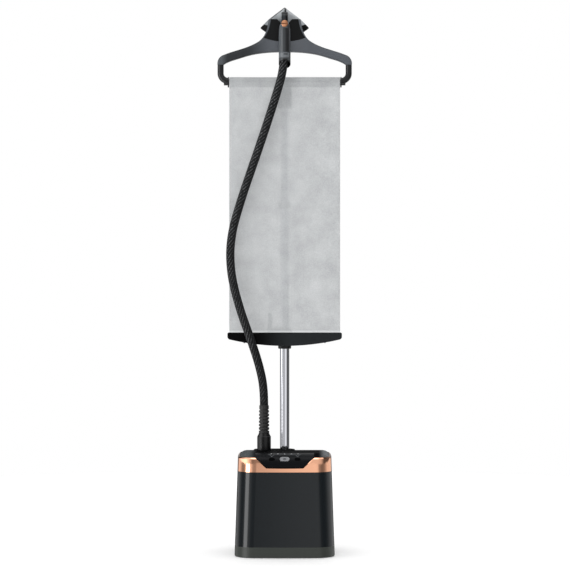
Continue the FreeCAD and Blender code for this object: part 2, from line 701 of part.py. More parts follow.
def screws():
    """Pan-head screws: four under the tray and four behind the bar."""
    solids = []
    for x, y in ((-90, -60), (90, -60), (-90, 50), (90, 50)):
        solids.append(upright(4.0, x, y, TRAY_BOTTOM - 0.7, TRAY_BOTTOM))
    for x in (-120.0, -60.0, 60.0, 120.0):
        solids.append(rod(3.2, V(x, BAR_HALF_DEPTH, 625.5), V(x, BAR_HALF_DEPTH + 1.4, 625.5)))
    return Part.makeCompound(solids)


# ---------------------------------------------------------------- pole

def tube(spec):
    outer, inner, bottom, top = spec
    return sleeve(outer, inner, 0.0, POLE_Y, bottom, top)


def clamp(spec, bore_below, bore_above, tube_top):
    """Collar on a tube's end with two ears behind it for the lever."""
    radius, bottom, top = spec
    profile = [(bore_below, bottom), (radius - 1.5, bottom), (radius, bottom + 1.5), (radius, top - 1.5),
               (radius - 1.5, top), (bore_above, top), (bore_above, tube_top), (bore_below, tube_top)]
    shape = turned(profile, 0.0, POLE_Y)
    back = POLE_Y + radius
    z = pivot_height(spec)
    for side in (-1, 1):
        x0 = min(side * (LEVER_HALF + 0.4), side * (LEVER_HALF + 3.4))
        side_view = [(back - 8.0, z - 5.0), (back + 8.0, z - 5.0), (back + 8.0, z + 5.0), (back - 8.0, z + 5.0)]
        ear = prism(side_view, [0, 4.0, 4.0, 0], in_side(x0), V(3, 0, 0))
        ear = ear.cut(upright(radius - 2.0, 0.0, POLE_Y, z - 10, z + 10))
        shape = shape.fuse(ear)
        shape = shape.cut(rod(LEVER_PIN, V(-20, back + 3.5, z), V(20, back + 3.5, z)))
    return shape.removeSplitter()


def pivot_height(spec):
    return spec[1] + 7.0


def lever(spec):
    radius = spec[0]
    back = POLE_Y + radius
    z = pivot_height(spec)
    profile = [(back + 0.8, z - 3.2), (back + 6.6, z - 3.2), (back + 7.0, z + LEVER_LENGTH),
               (back + 2.8, z + LEVER_LENGTH), (back + 0.8, z + 12.0)]
    shape = prism(profile, [2.7, 2.5, 1.8, 1.8, 2.0], in_side(-LEVER_HALF), V(2 * LEVER_HALF, 0, 0))
    return shape.cut(rod(LEVER_PIN + 0.06, V(-20, back + 3.5, z), V(20, back + 3.5, z)))


def lever_pin(spec):
    y = POLE_Y + spec[0] + 3.5
    z = pivot_height(spec)
    reach = LEVER_HALF + 3.4
    return rod(LEVER_PIN, V(-reach, y, z), V(reach, y, z))


# ---------------------------------------------------------------- bar and cloth

def bar_outline():
    """Front view of the bar: straight top, bowed underside and rounded ends."""
    edges = [
        Part.makeLine(V(-BAR_HALF + 4.0, 0, BAR_TOP), V(BAR_HALF - 4.0, 0, BAR_TOP)),
        Part.Arc(V(BAR_HALF - 4.0, 0, BAR_TOP), V(BAR_HALF - 1.2, 0, BAR_TOP - 1.2),
                 V(BAR_HALF, 0, BAR_TOP - 4.0)).toShape(),
        Part.makeLine(V(BAR_HALF, 0, BAR_TOP - 4.0), V(BAR_HALF, 0, BAR_END_BOTTOM + 6.0)),
        Part.Arc(V(BAR_HALF, 0, BAR_END_BOTTOM + 6.0), V(BAR_HALF - 2.3, 0, BAR_END_BOTTOM + 1.4),
                 V(BAR_HALF - 7.5, 0, BAR_END_BOTTOM - 1.6)).toShape(),
        Part.Arc(V(BAR_HALF - 7.5, 0, BAR_END_BOTTOM - 1.6), V(0, 0, BAR_MIDDLE_BOTTOM),
                 V(-BAR_HALF + 7.5, 0, BAR_END_BOTTOM - 1.6)).toShape(),
        Part.Arc(V(-BAR_HALF + 7.5, 0, BAR_END_BOTTOM - 1.6), V(-BAR_HALF + 2.3, 0, BAR_END_BOTTOM + 1.4),
                 V(-BAR_HALF, 0, BAR_END_BOTTOM + 6.0)).toShape(),
        Part.makeLine(V(-BAR_HALF, 0, BAR_END_BOTTOM + 6.0), V(-BAR_HALF, 0, BAR_TOP - 4.0)),
        Part.Arc(V(-BAR_HALF, 0, BAR_TOP - 4.0), V(-BAR_HALF + 1.2, 0, BAR_TOP - 1.2),
                 V(-BAR_HALF + 4.0, 0, BAR_TOP)).toShape(),
    ]
    return Part.Wire(edges)


def bar_half(y0, y1, rounded_y):
    face = Part.Face(bar_outline())
    face.translate(V(0, y0, 0))
    shape = face.extrude(V(0, y1 - y0, 0))
    edges = [e for e in shape.Edges if abs(e.BoundBox.YMax - rounded_y) < 0.01
             and abs(e.BoundBox.YMin - rounded_y) < 0.01]
    return shape.makeFillet(2.0, edges)


def bar_front():
    return bar_half(-BAR_HALF_DEPTH, CLOTH_Y - CLOTH_SLOT_HALF, -BAR_HALF_DEPTH)


def bar_back():
    return bar_half(CLOTH_Y + CLOTH_SLOT_HALF, BAR_HALF_DEPTH, BAR_HALF_DEPTH)


def bar_bracket():
    """Carrier between the bar and the clamp, with a peg for hanging accessories."""
    front = BAR_HALF_DEPTH
    plate = prism([(-51, 636), (22, 636), (22, 668.5), (-51, 668.5)], 4.0, in_front(front), V(0, 6, 0))
    peg = prism([(-50, 660), (-37, 660), (-37, 712), (-50, 712)], [0, 0, 5.0, 5.0], in_front(front),
                V(0, 6, 0))
    tongue = block(-14.0, 14.0, front + 5.0, 30.0, 638.0, 652.0)
    shape = plate.fuse(peg).fuse(tongue)
    return shape.cut(upright(LOWER_CLAMP[0], 0.0, POLE_Y, 600.0, 660.0)).removeSplitter()


def press_cloth():
    half = CLOTH_THICKNESS / 2
    return block(-CLOTH_HALF, CLOTH_HALF, CLOTH_Y - half, CLOTH_Y + half, CLOTH_BOTTOM, ROLLER_Z)


def along_x(outer, inner, x0, x1):
    """Tube or rod on the roller's axis. An inner radius of 0 makes it solid."""
    shape = rod(outer, V(x0, ROLLER_Y, ROLLER_Z), V(x1, ROLLER_Y, ROLLER_Z))
    if inner:
        shape = shape.cut(rod(inner, V(x0 - 1, ROLLER_Y, ROLLER_Z), V(x1 + 1, ROLLER_Y, ROLLER_Z)))
    return shape


def cloth_roll():
    return along_x(ROLL_RADIUS, 12.5, -CLOTH_HALF, CLOTH_HALF)


def roller_tube():
    return along_x(12.5, 11.2, -CLOTH_HALF, CLOTH_HALF)


def roller_ends():
    right = along_x(11.2, 0, 145.0, CLOTH_HALF + 0.4)
    right = right.fuse(along_x(ROLLER_PIN, 0, CLOTH_HALF, 169.0))
    return both_sides(right)


def roller_spring():
    """Wound spring motor inside the tube, drawn as its sleeve."""
    return along_x(10.6, 4.0, 40.0, 145.0)


# ---------------------------------------------------------------- hanger

def hanger_face(y):
    """Front view of the whole hanger, crown included."""
    place = in_front(y)
    right = [
        spline(ARM_TOP_LINE, place),
        Part.Arc(place(180.0, 1482.5), place(194.6, 1473.4), place(LEG_OUTER, 1457.0)).toShape(),
        Part.makeLine(place(LEG_OUTER, 1457.0), place(LEG_OUTER, ARM_BOTTOM)),
        Part.makeLine(place(LEG_OUTER, ARM_BOTTOM), place(LEG_INNER, ARM_BOTTOM)),
        Part.makeLine(place(LEG_INNER, ARM_BOTTOM), place(*ARM_LOW_LINE[0])),
        spline(ARM_LOW_LINE, place),
    ]
    edges = right + [mirrored(edge) for edge in right]
    edges.append(Part.makeLine(place(-47.5, CROWN_TOP), place(47.5, CROWN_TOP)))
    return Part.Face(Part.Wire(Part.__sortEdges__(edges)))


def panel_face(y):
    """Front view of the cradle's dark panel."""
    place = in_front(y)
    side = [(40.5, CROWN_TOP), (43.8, 1570.0), (50.6, 1550.0), (62.0, 1532.2)]
    side_edge = spline(side, place)
    low = Part.Arc(place(*side[-1]), place(0.0, 1521.0), place(-side[-1][0], side[-1][1])).toShape()
    top = Part.makeLine(place(-side[0][0], side[0][1]), place(*side[0]))
    edges = [side_edge, mirrored(side_edge), low, top]
    return Part.Face(Part.Wire(Part.__sortEdges__(edges)))


def neck_notch():
    """Open notch through the crown that the steam head's neck drops into."""
    points = [(-12.0, 1566.0), (12.0, 1566.0), (12.0, 1577.0), (23.0, 1589.0), (23.0, 1600.0),
              (-23.0, 1600.0), (-23.0, 1589.0), (-12.0, 1577.0)]
    return prism(points, [3.0, 3.0, 0, 0, 0, 0, 0, 0], in_front(-20.0), V(0, 40, 0))


def hanger_body():
    """Both arms, whose front swells towards the middle, and the thin crown above the shelf."""
    form = hanger_face(CROWN_FRONT - 1.0).extrude(V(0, ARM_BACK - CROWN_FRONT + 2.0, 0))
    plan = [(-210, ARM_FRONT), (-115, ARM_FRONT), (-65, CROWN_FRONT), (65, CROWN_FRONT), (115, ARM_FRONT),
            (210, ARM_FRONT), (210, ARM_BACK), (-210, ARM_BACK)]
    low = ARM_BOTTOM - 10.0
    arms = form.common(prism(plan, [0, 150.0, 150.0, 150.0, 150.0, 0, 0, 0], in_plan(low),
                             V(0, 0, SHELF_Z - low)))
    crown = form.common(block(-75, 75, CROWN_FRONT, CROWN_BACK, SHELF_Z - 1.0, 1600.0))
    shape = arms.fuse(crown)
    shape = shape.cut(panel_face(-20.0).extrude(V(0, 22.5, 0)))
    return shape.cut(neck_notch()).removeSplitter()


def cradle_panel():
    shape = panel_face(0.0).extrude(V(0, 2.5, 0))
    return shape.cut(neck_notch())


def hanger_housing():
    """Rear cover of the cradle, with a lip that keeps the steam head from tipping back."""
    points = [(-40, HOUSING_BOTTOM), (40, HOUSING_BOTTOM), (48, SHELF_Z), (-48, SHELF_Z)]
    shape = prism(points, [8.0, 8.0, 0, 0], in_front(ARM_BACK), V(0, HOUSING_BACK - ARM_BACK, 0))
    lip = prism([(-40, SHELF_Z - 5), (40, SHELF_Z - 5), (34, 1572), (-34, 1572)], [0, 0, 6.0, 6.0],
                in_front(SOLE_BACK + 1.5), V(0, 5, 0))
    return shape.fuse(lip)


def hanger_collar():
    """Fitting on the pole's top: a block, a boss and the cross bar that carries both roller brackets."""
    half, front, back, bottom, top = CROSS_BAR
    shape = prism([(-COLLAR_HALF, POLE_Y - 14.5), (COLLAR_HALF, POLE_Y - 14.5),
                   (COLLAR_HALF, POLE_Y + 14.5), (-COLLAR_HALF, POLE_Y + 14.5)], 11.0,
                  in_plan(COLLAR_BOTTOM), V(0, 0, COLLAR_TOP - COLLAR_BOTTOM))
    boss = prism([(-17.0, 33.4), (17.0, 33.4), (17.0, 57.0), (-17.0, 57.0)], 7.0,
                 in_plan(COLLAR_TOP), V(0, 0, top - COLLAR_TOP))
    bar = prism([(front, bottom), (back, bottom), (back, top), (front, top)], 4.0, in_side(-half),
                V(2 * half, 0, 0))
    shape = shape.fuse(boss).fuse(bar)
    for side in (-1, 1):
        x0 = side * (half - 5.5) - 5.5
        tongue = block(x0, x0 + 11.0, ROLLER_Y + 8.0, front + 5.0, bottom + 2.0, top)
        shape = shape.fuse(tongue)
    shape = shape.cut(upright(UPPER_TUBE[0], 0.0, POLE_Y, COLLAR_BOTTOM - 1, UPPER_TUBE[3]))
    return shape.cut(roller_bracket()).cut(mirrored(roller_bracket())).removeSplitter()


def roller_bracket():
    """Right-hand J below the arm, ending in the plate that carries the roller's pin."""
    centre_x = (LEG_OUTER + LEG_INNER) / 2
    tube_radius = (LEG_OUTER - LEG_INNER) / 2
    bend = centre_x - 169.0
    middle_of_bend = V(169.0, ROLLER_Y, BRACKET_Z + bend)
    bend_point = middle_of_bend + V(1, 0, -1).normalize() * bend
    path = Part.Wire([
        Part.makeLine(V(centre_x, ROLLER_Y, ARM_BOTTOM), V(centre_x, ROLLER_Y, middle_of_bend.z)),
        Part.Arc(V(centre_x, ROLLER_Y, middle_of_bend.z), bend_point,
                 V(169.0, ROLLER_Y, BRACKET_Z)).toShape(),
    ])
    profile = Part.Wire([Part.makeCircle(tube_radius, V(centre_x, ROLLER_Y, ARM_BOTTOM), UP)])
    shape = path.makePipeShell([profile], True, False)
    shape = shape.fuse(along_x(15.6, 0, 166.2, 169.8))
    return shape.cut(along_x(ROLLER_PIN + 0.06, 0, 160.0, 169.4))


# ---------------------------------------------------------------- steam head

def head_outline(y, grow):
    """Delta outline of the steam head, seen from the front."""
    points = [(0.0, HEAD_APEX + grow), (48.0 + grow, 1591.5 + grow), (74.0 + grow, 1565.6),
              (52.4 + grow, HEAD_SEAT - grow), (-52.4 - grow, HEAD_SEAT - grow), (-74.0 - grow, 1565.6),
              (-48.0 - grow, 1591.5 + grow)]
    return rounded_wire(points, [3.0, 40.0, 2.5, 5.0, 5.0, 2.5, 40.0], in_front(y))


def head_shell():
    front = [(0.0, 1619.0), (9.0, 1606.0), (11.0, 1584.0), (10.0, 1568.0), (-10.0, 1568.0), (-11.0, 1584.0),
             (-9.0, 1606.0)]
    small = rounded_wire(front, [1.5, 8.0, 4.0, 1.5, 1.5, 4.0, 8.0], in_front(9.0))
    return Part.makeLoft([small, head_outline(33.0, 0.0)], True, True)


def head_gasket():
    return Part.Face(head_outline(33.0, -1.0)).extrude(V(0, 4, 0))


def soleplate():
    shape = Part.Face(head_outline(37.0, -0.5)).extrude(V(0, SOLE_BACK - 37.0, 0))
    for x, z in STEAM_HOLES:
        shape = shape.cut(rod(1.8, V(x, 38.5, z), V(x, 60.0, z)))
    return shape


def neck():
    """Bridge from the handle, over the crown, to the head."""
    points = [(-31.5, HANDLE_TOP), (-31.5, 1594.0), (-15.0, 1605.5), (9.0, 1610.0), (9.0, 1580.0),
              (-8.0, 1580.0), (-8.0, HANDLE_TOP)]
    return prism(points, [0, 9.0, 12.0, 0, 0, 0, 0], in_side(-9.3), V(18.6, 0, 0))


def handle_form(inset):
    """Turned outer form of the grip."""
    points = [(0, 1470.0), (HANDLE_RADIUS - inset, 1470.0), (HANDLE_RADIUS - inset, 1544.0),
              (16.8 - inset, 1555.0), (15.0 - inset, 1566.0), (12.0 - inset, 1573.5),
              (9.0 - inset, HANDLE_TOP), (0, HANDLE_TOP)]
    return turned(points, 0.0, HANDLE_Y)


def inlay_form(inset):
    """Long window in the front of the grip."""
    outline = prism([(-11.8, 1486), (11.8, 1486), (11.2, 1557), (-11.2, 1557)], 6.0,
                    in_front(HANDLE_Y - 30.0), V(0, 24, 0))
    return handle_form(inset).cut(handle_form(1.6)).common(outline)


def handle_shell(front):
    shape = handle_form(0.0).cut(upright(HANDLE_BORE, 0.0, HANDLE_Y, 1460.0, 1552.0))
    shape = shape.cut(inlay_form(0.0))
    shape = shape.cut(rod(TRIGGER_STEM + 0.3, V(0, -60.0, TRIGGER_Z), V(0, HANDLE_Y, TRIGGER_Z)))
    y0 = HANDLE_Y - 30.0 if front else HANDLE_Y
    return shape.common(block(-30, 30, y0, y0 + 30.0, 1460.0, 1570.0))


def handle_mouth():
    """Soft ring at the grip's lower end, cut at a slant."""
    ring = turned([(MOUTH_BORE, 1438.0), (HANDLE_RADIUS, 1438.0), (HANDLE_RADIUS, 1470.0),
                   (HANDLE_BORE, 1470.0), (HANDLE_BORE, 1466.0), (MOUTH_BORE, 1462.0)], 0.0, HANDLE_Y)
    wedge = prism([(-44.0, 1430.0), (0.0, 1430.0), (0.0, 1437.0), (-44.0, 1464.5)], 0,
                  in_side(-30.0), V(60, 0, 0))
    return ring.cut(wedge)


def trigger():
    """Round press button with a slot across its face."""
    front = -45.2
    cap = rod(TRIGGER_RADIUS, V(0, front, TRIGGER_Z), V(0, front + 3.6, TRIGGER_Z))
    edges = [e for e in cap.Edges if abs(e.BoundBox.YMin - front) < 0.01
             and abs(e.BoundBox.YMax - front) < 0.01]
    cap = cap.makeFillet(1.2, edges)
    reach = TRIGGER_RADIUS + 1.0
    slot = block(-reach, reach, front - 1.0, front + 1.5, TRIGGER_Z - 1.1, TRIGGER_Z + 1.1)
    stem = rod(TRIGGER_STEM, V(0, front + 3.0, TRIGGER_Z), V(0, -26.5, TRIGGER_Z))
    return cap.cut(slot).fuse(stem)


# ---------------------------------------------------------------- hose

def steam_hose():
    path, radii = smooth_route(HOSE_ROUTE)
    start = V(*HOSE_ROUTE[0])
    heading = V(*HOSE_ROUTE[1]) - start
    profile = Part.Wire([Part.makeCircle(HOSE_RADIUS, start, heading)])
    solid = path.makePipeShell([profile], True, False)
    section = math.pi * HOSE_RADIUS ** 2
    print("hose radii", [round(r) for r in radii])
    share = solid.Volume / (section * path.Length)
    print("hose length", round(path.Length, 1), "volume ratio", round(share, 4))
    return solid


NODES = {
    "rubber_feet": feet,
    "base_tray": tray,
    "left_wheel": lambda: mirrored(wheel()),
    "right_wheel": wheel,
    "wheel_axles": lambda: both_sides(wheel_axle()),
    "base_shell": shell,
    "cord_inlet": cord_inlet,
    "copper_band": band,
    "deck_cover": deck,
    "control_panel": control_panel,
    "power_button": lambda: button("power_button"),
    "minus_button": lambda: button("minus_button"),
    "plus_button": lambda: button("plus_button"),
    "level_lights": lambda: level_lights(PANEL_RADIUS - PANEL_WALL, PANEL_RADIUS + 0.2),
    "control_board": control_board,
    "boiler": boiler,
    "pump": pump,
    "steam_pipe": steam_pipe,
    "tank_bay": tank_bay,
    "water_tank": tank,
    "tank_valve": tank_valve,
    "tank_lid": lid,
    "tank_bail": bail,
    "filler_cap": filler_cap,
    "pole_socket": pole_socket,
    "hose_connector": hose_connector,
    "hose_boot": hose_boot,
    "steam_hose": steam_hose,
    "lower_tube": lambda: tube(LOWER_TUBE),
    "lower_clamp": lambda: clamp(LOWER_CLAMP, LOWER_TUBE[0], MID_TUBE[0] + RUNNING_GAP, LOWER_TUBE[3]),
    "lower_lever": lambda: lever(LOWER_CLAMP),
    "lower_lever_pin": lambda: lever_pin(LOWER_CLAMP),
    "mid_tube": lambda: tube(MID_TUBE),
    "mid_clamp": lambda: clamp(MID_CLAMP, MID_TUBE[0], UPPER_TUBE[0] + RUNNING_GAP, MID_TUBE[3]),
    "mid_lever": lambda: lever(MID_CLAMP),
    "mid_lever_pin": lambda: lever_pin(MID_CLAMP),
    "upper_tube": lambda: tube(UPPER_TUBE),
    "bar_front": bar_front,
    "bar_back": bar_back,
    "screws": screws,
    "bar_bracket": bar_bracket,
    "press_cloth": press_cloth,
    "cloth_roll": cloth_roll,
    "roller_tube": roller_tube,
    "roller_ends": roller_ends,
    "roller_spring": roller_spring,
    "hanger_body": hanger_body,
    "cradle_panel": cradle_panel,
    "hanger_housing": hanger_housing,
    "hanger_collar": hanger_collar,
    "roller_brackets": lambda: both_sides(roller_bracket()),
    "head_shell": head_shell,
    "head_gasket": head_gasket,
    "soleplate": soleplate,
    "head_neck": neck,
    "handle_front": lambda: handle_shell(True),
    "handle_back": lambda: handle_shell(False),
    "handle_inlay": lambda: inlay_form(0.4),
    "handle_mouth": handle_mouth,
    "steam_trigger": trigger,
}


def main():
    os.makedirs("parts", exist_ok=True)
    for name, make in NODES.items():
        shape = make()
        shape.exportStep("parts/" + name + ".step")
        print(name, len(shape.Solids), shape.isValid(), round(shape.Volume / 1000, 1))
    print(len(NODES), "nodes")


main()
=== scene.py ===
"""Looks of the upright garment steamer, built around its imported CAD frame.

Metres. The origin is on the floor under the middle of the base, +Z is up and the front faces -Y.
"""

import math

import bpy
import numpy as np
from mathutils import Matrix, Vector
from mathutils.kdtree import KDTree


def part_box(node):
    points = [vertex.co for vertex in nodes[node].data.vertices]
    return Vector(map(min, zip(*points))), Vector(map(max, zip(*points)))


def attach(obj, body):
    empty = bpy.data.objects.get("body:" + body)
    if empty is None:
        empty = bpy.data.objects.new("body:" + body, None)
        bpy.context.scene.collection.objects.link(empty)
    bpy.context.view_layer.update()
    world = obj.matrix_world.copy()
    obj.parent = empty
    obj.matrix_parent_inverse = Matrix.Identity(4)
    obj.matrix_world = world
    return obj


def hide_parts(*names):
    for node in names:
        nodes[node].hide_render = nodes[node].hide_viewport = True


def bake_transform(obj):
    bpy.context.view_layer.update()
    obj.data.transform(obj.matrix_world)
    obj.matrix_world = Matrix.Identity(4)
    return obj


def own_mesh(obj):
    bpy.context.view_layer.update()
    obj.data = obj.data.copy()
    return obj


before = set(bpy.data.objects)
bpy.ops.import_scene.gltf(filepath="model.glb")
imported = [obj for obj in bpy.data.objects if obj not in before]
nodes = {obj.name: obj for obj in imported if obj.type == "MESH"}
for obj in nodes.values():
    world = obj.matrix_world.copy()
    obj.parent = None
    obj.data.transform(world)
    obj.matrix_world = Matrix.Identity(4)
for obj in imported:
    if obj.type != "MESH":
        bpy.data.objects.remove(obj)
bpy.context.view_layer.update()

# Camera
CAMERA_AT = (0.001, -5.955, 0.796)
LENS = 126.3                    # for a 36 mm sensor

# Steam hose: the centre line's points, from the top of its boot to inside the handle
HOSE_ROUTE = [
    (-0.0615, 0.015, 0.437),
    (-0.0615, 0.015, 0.487),
    (-0.075, -0.005, 0.555),
    (-0.098, -0.031, 0.628),
    (-0.136, -0.031, 0.733),
    (-0.1613, -0.023, 0.836),
    (-0.1613, -0.020, 0.938),
    (-0.128, -0.019, 1.055),
    (-0.072, -0.019, 1.215),
    (-0.024, -0.020, 1.362),
    (0.0, -0.022, 1.449),
    (0.0, -0.022, 1.526),
]
HOSE_RADIUS = 0.0125
BRAID_STRANDS = 16              # in each direction
BRAID_PITCH = 0.052             # length of one turn of a strand
BRAID_RELIEF = 0.00045
FLECK_ROWS = 8                  # diagonal rows of light flecks round the hose
FLECK_PITCH = 0.0137            # from one row to the next along it

# Press cloth
CLOTH_TUCK = 0.012              # held inside the bar
CLOTH_HEM = 0.006
CLOTH_THICKNESS = 0.0005        # from the middle to a face at the hems, half of that elsewhere

# Studio: radiance by azimuth in degrees, 0 towards the front and negative to the left
SURROUND = [
    (-180, 0.55), (-166, 0.4), (-156, 0.1), (-148, 0.12), (-138, 0.85), (-128, 0.95), (-112, 0.75),
    (-98, 0.30), (-82, 0.28), (-74, 0.6), (-68, 0.9), (-36, 1.0), (-29, 0.6), (-23, 0.42), (-12, 0.38),
    (-6, 0.57), (0, 0.83), (4, 0.98), (22, 1.0), (32, 0.92), (42, 0.36), (58, 0.2), (74, 0.26),
    (86, 0.5), (100, 0.9), (140, 0.95), (152, 0.1), (166, 0.4), (180, 0.55),
]
POLE_SURROUND = [                # the cards round the pole
    (-180, 0.6), (-164, 0.5), (-150, 0.06), (-120, 0.07), (-104, 0.6), (-92, 1.6), (-56, 2.2),
    (-42, 1.0), (-30, 0.26), (-12, 0.32), (0, 0.6), (14, 0.85), (34, 0.85), (46, 0.66), (58, 0.11),
    (100, 0.06), (125, 0.2), (140, 0.3), (150, 0.1), (164, 0.5), (180, 0.6),
]
CARD_RADIUS = 0.45
CARD_HEIGHTS = (0.268, 0.80)    # bottom and top of the cards
STRIP_AZIMUTH = (-56.5, 11.5)   # middle and half width
STRIP_RADIANCE = 4.6
OVERHEAD = 1.2
ZENITH = 3.0
BACKGROUND = 1.0


# ---------------------------------------------------------------- camera, floor and light

def make_camera():
    """Camera straight in front of the object."""
    view = bpy.context.scene.view_settings
    view.view_transform = "Standard"
    view.look = "None"
    data = bpy.data.cameras.new("camera")
    data.lens = LENS
    data.sensor_width = 36.0
    camera = bpy.data.objects.new("camera", data)
    camera.location = CAMERA_AT
    camera.rotation_euler = (math.radians(90), 0, 0)
    bpy.context.scene.collection.objects.link(camera)
    bpy.context.scene.camera = camera


def add_node(tree, kind, inputs=None, **settings):
    """New shader node. An input may be a value or another node's output."""
    made = tree.nodes.new(kind)
    for name, value in settings.items():
        setattr(made, name, value)
    for name, value in (inputs or {}).items():
        if isinstance(value, bpy.types.NodeSocket):
            tree.links.new(value, made.inputs[name])
        else:
            made.inputs[name].default_value = value
    return made


def azimuth_of(tree, parts):
    """Angle round the upright axis, 0 towards the front and negative to the left."""
    toward_front = add_node(tree, "ShaderNodeMath", {0: parts["Y"], 1: -1.0}, operation="MULTIPLY")
    return add_node(tree, "ShaderNodeMath", {
        0: parts["X"], 1: toward_front.outputs[0]}, operation="ARCTAN2").outputs[0]


def surround(tree, azimuth, table):
    """Radiance by azimuth, from a table."""
    place = add_node(tree, "ShaderNodeMapRange", {
        "Value": azimuth, "From Min": -math.pi, "From Max": math.pi}).outputs[0]
    ramp = add_node(tree, "ShaderNodeValToRGB", {0: place})
    elements = ramp.color_ramp.elements
    while len(elements) < len(table):
        elements.new(0.5)
    for element, (angle, radiance) in zip(elements, table):
        element.position = (angle + 180) / 360
    for element, (angle, radiance) in zip(elements, table):
        element.color = (radiance, radiance, radiance, 1)
    return ramp.outputs[0]


def smooth_step(tree, value, start, end):
    """0 before start, 1 after end."""
    return add_node(tree, "ShaderNodeMapRange", {
        "Value": value, "From Min": start, "From Max": end}, interpolation_type="SMOOTHSTEP").outputs[0]


def make_studio():
    """White backdrop with large soft boxes and dark gaps around the object."""
    world = bpy.data.worlds.new("studio")
    world.use_nodes = True
    bpy.context.scene.world = world
    tree = world.node_tree
    tree.nodes.clear()
    direction = add_node(tree, "ShaderNodeTexCoord").outputs["Generated"]
    parts = add_node(tree, "ShaderNodeSeparateXYZ", {0: direction}).outputs
    azimuth = azimuth_of(tree, parts)
    around = surround(tree, azimuth, SURROUND)
    middle, reach = [math.radians(angle) for angle in STRIP_AZIMUTH]
    offset = add_node(tree, "ShaderNodeMath", {0: azimuth, 1: middle}, operation="SUBTRACT").outputs[0]
    offset = add_node(tree, "ShaderNodeMath", {0: offset}, operation="ABSOLUTE").outputs[0]
    across = add_node(tree, "ShaderNodeMapRange", {
        "Value": offset, "From Min": reach - 0.05, "From Max": reach + 0.05,
        "To Min": STRIP_RADIANCE, "To Max": 0.0}, interpolation_type="SMOOTHSTEP").outputs[0]
    low = smooth_step(tree, parts["Z"], 0.26, 0.14)
    strip = add_node(tree, "ShaderNodeMath", {0: across, 1: low}, operation="MULTIPLY").outputs[0]
    around = add_node(tree, "ShaderNodeMath", {0: around, 1: strip}, operation="ADD").outputs[0]
    height = smooth_step(tree, parts["Z"], 0.30, 0.70)
    summit = smooth_step(tree, parts["Z"], 0.90, 0.98)
    above = add_node(tree, "ShaderNodeMix", {0: summit, 2: OVERHEAD, 3: ZENITH}).outputs[0]
    radiance = add_node(tree, "ShaderNodeMix", {0: height, 2: around, 3: above})
    seen = add_node(tree, "ShaderNodeLightPath").outputs["Is Camera Ray"]
    shown = add_node(tree, "ShaderNodeMix", {0: seen, 2: radiance.outputs[0], 3: BACKGROUND})
    light = add_node(tree, "ShaderNodeBackground", {"Color": (1, 1, 1, 1), "Strength": shown.outputs[0]})
    add_node(tree, "ShaderNodeOutputWorld", {"Surface": light.outputs[0]})


def ring_points(radius, z, sides):
    """Points of a level circle round the upright axis."""
    turns = [2 * math.pi * side / sides for side in range(sides)]
    return [(radius * math.cos(turn), radius * math.sin(turn), z) for turn in turns]


def make_pole_cards():
    """Ring of cards round the open stretch of the pole, which only mirror-like surfaces show."""
    low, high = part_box("lower_tube")
    sides = 120
    vertices = []
    for z in CARD_HEIGHTS:
        vertices += ring_points(CARD_RADIUS, z, sides)
    mesh = bpy.data.meshes.new("pole_cards")
    mesh.from_pydata(vertices, [], grid_faces(len(CARD_HEIGHTS), sides, True))
    material = bpy.data.materials.new("pole_cards")
    material.use_nodes = True
    tree = material.node_tree
    tree.nodes.clear()
    place = add_node(tree, "ShaderNodeTexCoord").outputs["Object"]
    azimuth = azimuth_of(tree, add_node(tree, "ShaderNodeSeparateXYZ", {0: place}).outputs)
    light = add_node(tree, "ShaderNodeEmission", {
        "Color": surround(tree, azimuth, POLE_SURROUND), "Strength": 1.0})
    add_node(tree, "ShaderNodeOutputMaterial", {"Surface": light.outputs[0]})
    mesh.materials.append(material)
    cards = bpy.data.objects.new("pole_cards", mesh)
    cards.location = (0, (low.y + high.y) / 2, 0)
    cards.visible_camera = False
    cards.visible_diffuse = False
    cards.visible_transmission = False
    cards.visible_shadow = False
    bpy.context.scene.collection.objects.link(cards)


def make_floor():
    """Pale round floor under the object."""
    rings = 24
    sides = 96
    radius = 2.6
    vertices = [(0, 0, 0)]
    for ring in range(1, rings + 1):
        vertices += ring_points(radius * (ring / rings) ** 1.5, 0, sides)
    faces = [(0, 1 + side, 1 + (side + 1) % sides) for side in range(sides)]
    for ring in range(rings - 1):
        for side in range(sides):
            a = 1 + ring * sides + side
            b = 1 + ring * sides + (side + 1) % sides
            faces.append((a, a + sides, b + sides, b))
    mesh = bpy.data.meshes.new("floor")
    mesh.from_pydata(vertices, [], faces)
    material = bpy.data.materials.new("floor_white")
    material.use_nodes = True
    shader = material.node_tree.nodes["Principled BSDF"]
    shader.inputs["Base Color"].default_value = (0.8, 0.8, 0.8, 1)
    shader.inputs["Roughness"].default_value = 0.55
    shader.inputs["Specular IOR Level"].default_value = 0.15
    shader.inputs["Emission Color"].default_value = (1, 1, 1, 1)
    shader.inputs["Emission Strength"].default_value = 0.2
    mesh.materials.append(material)
    floor = bpy.data.objects.new("floor", mesh)
    floor.visible_glossy = False
    bpy.context.scene.collection.objects.link(floor)


# ---------------------------------------------------------------- materials

def srgb(red, green, blue):
    """Linear colour from 8-bit display values."""
    def linear(value):
        share = value / 255
        return share / 12.92 if share <= 0.04045 else ((share + 0.055) / 1.055) ** 2.4
    return (linear(red), linear(green), linear(blue), 1)


def shade(colour, factor):
    """The colour made lighter or darker."""
    return (colour[0] * factor, colour[1] * factor, colour[2] * factor, 1)


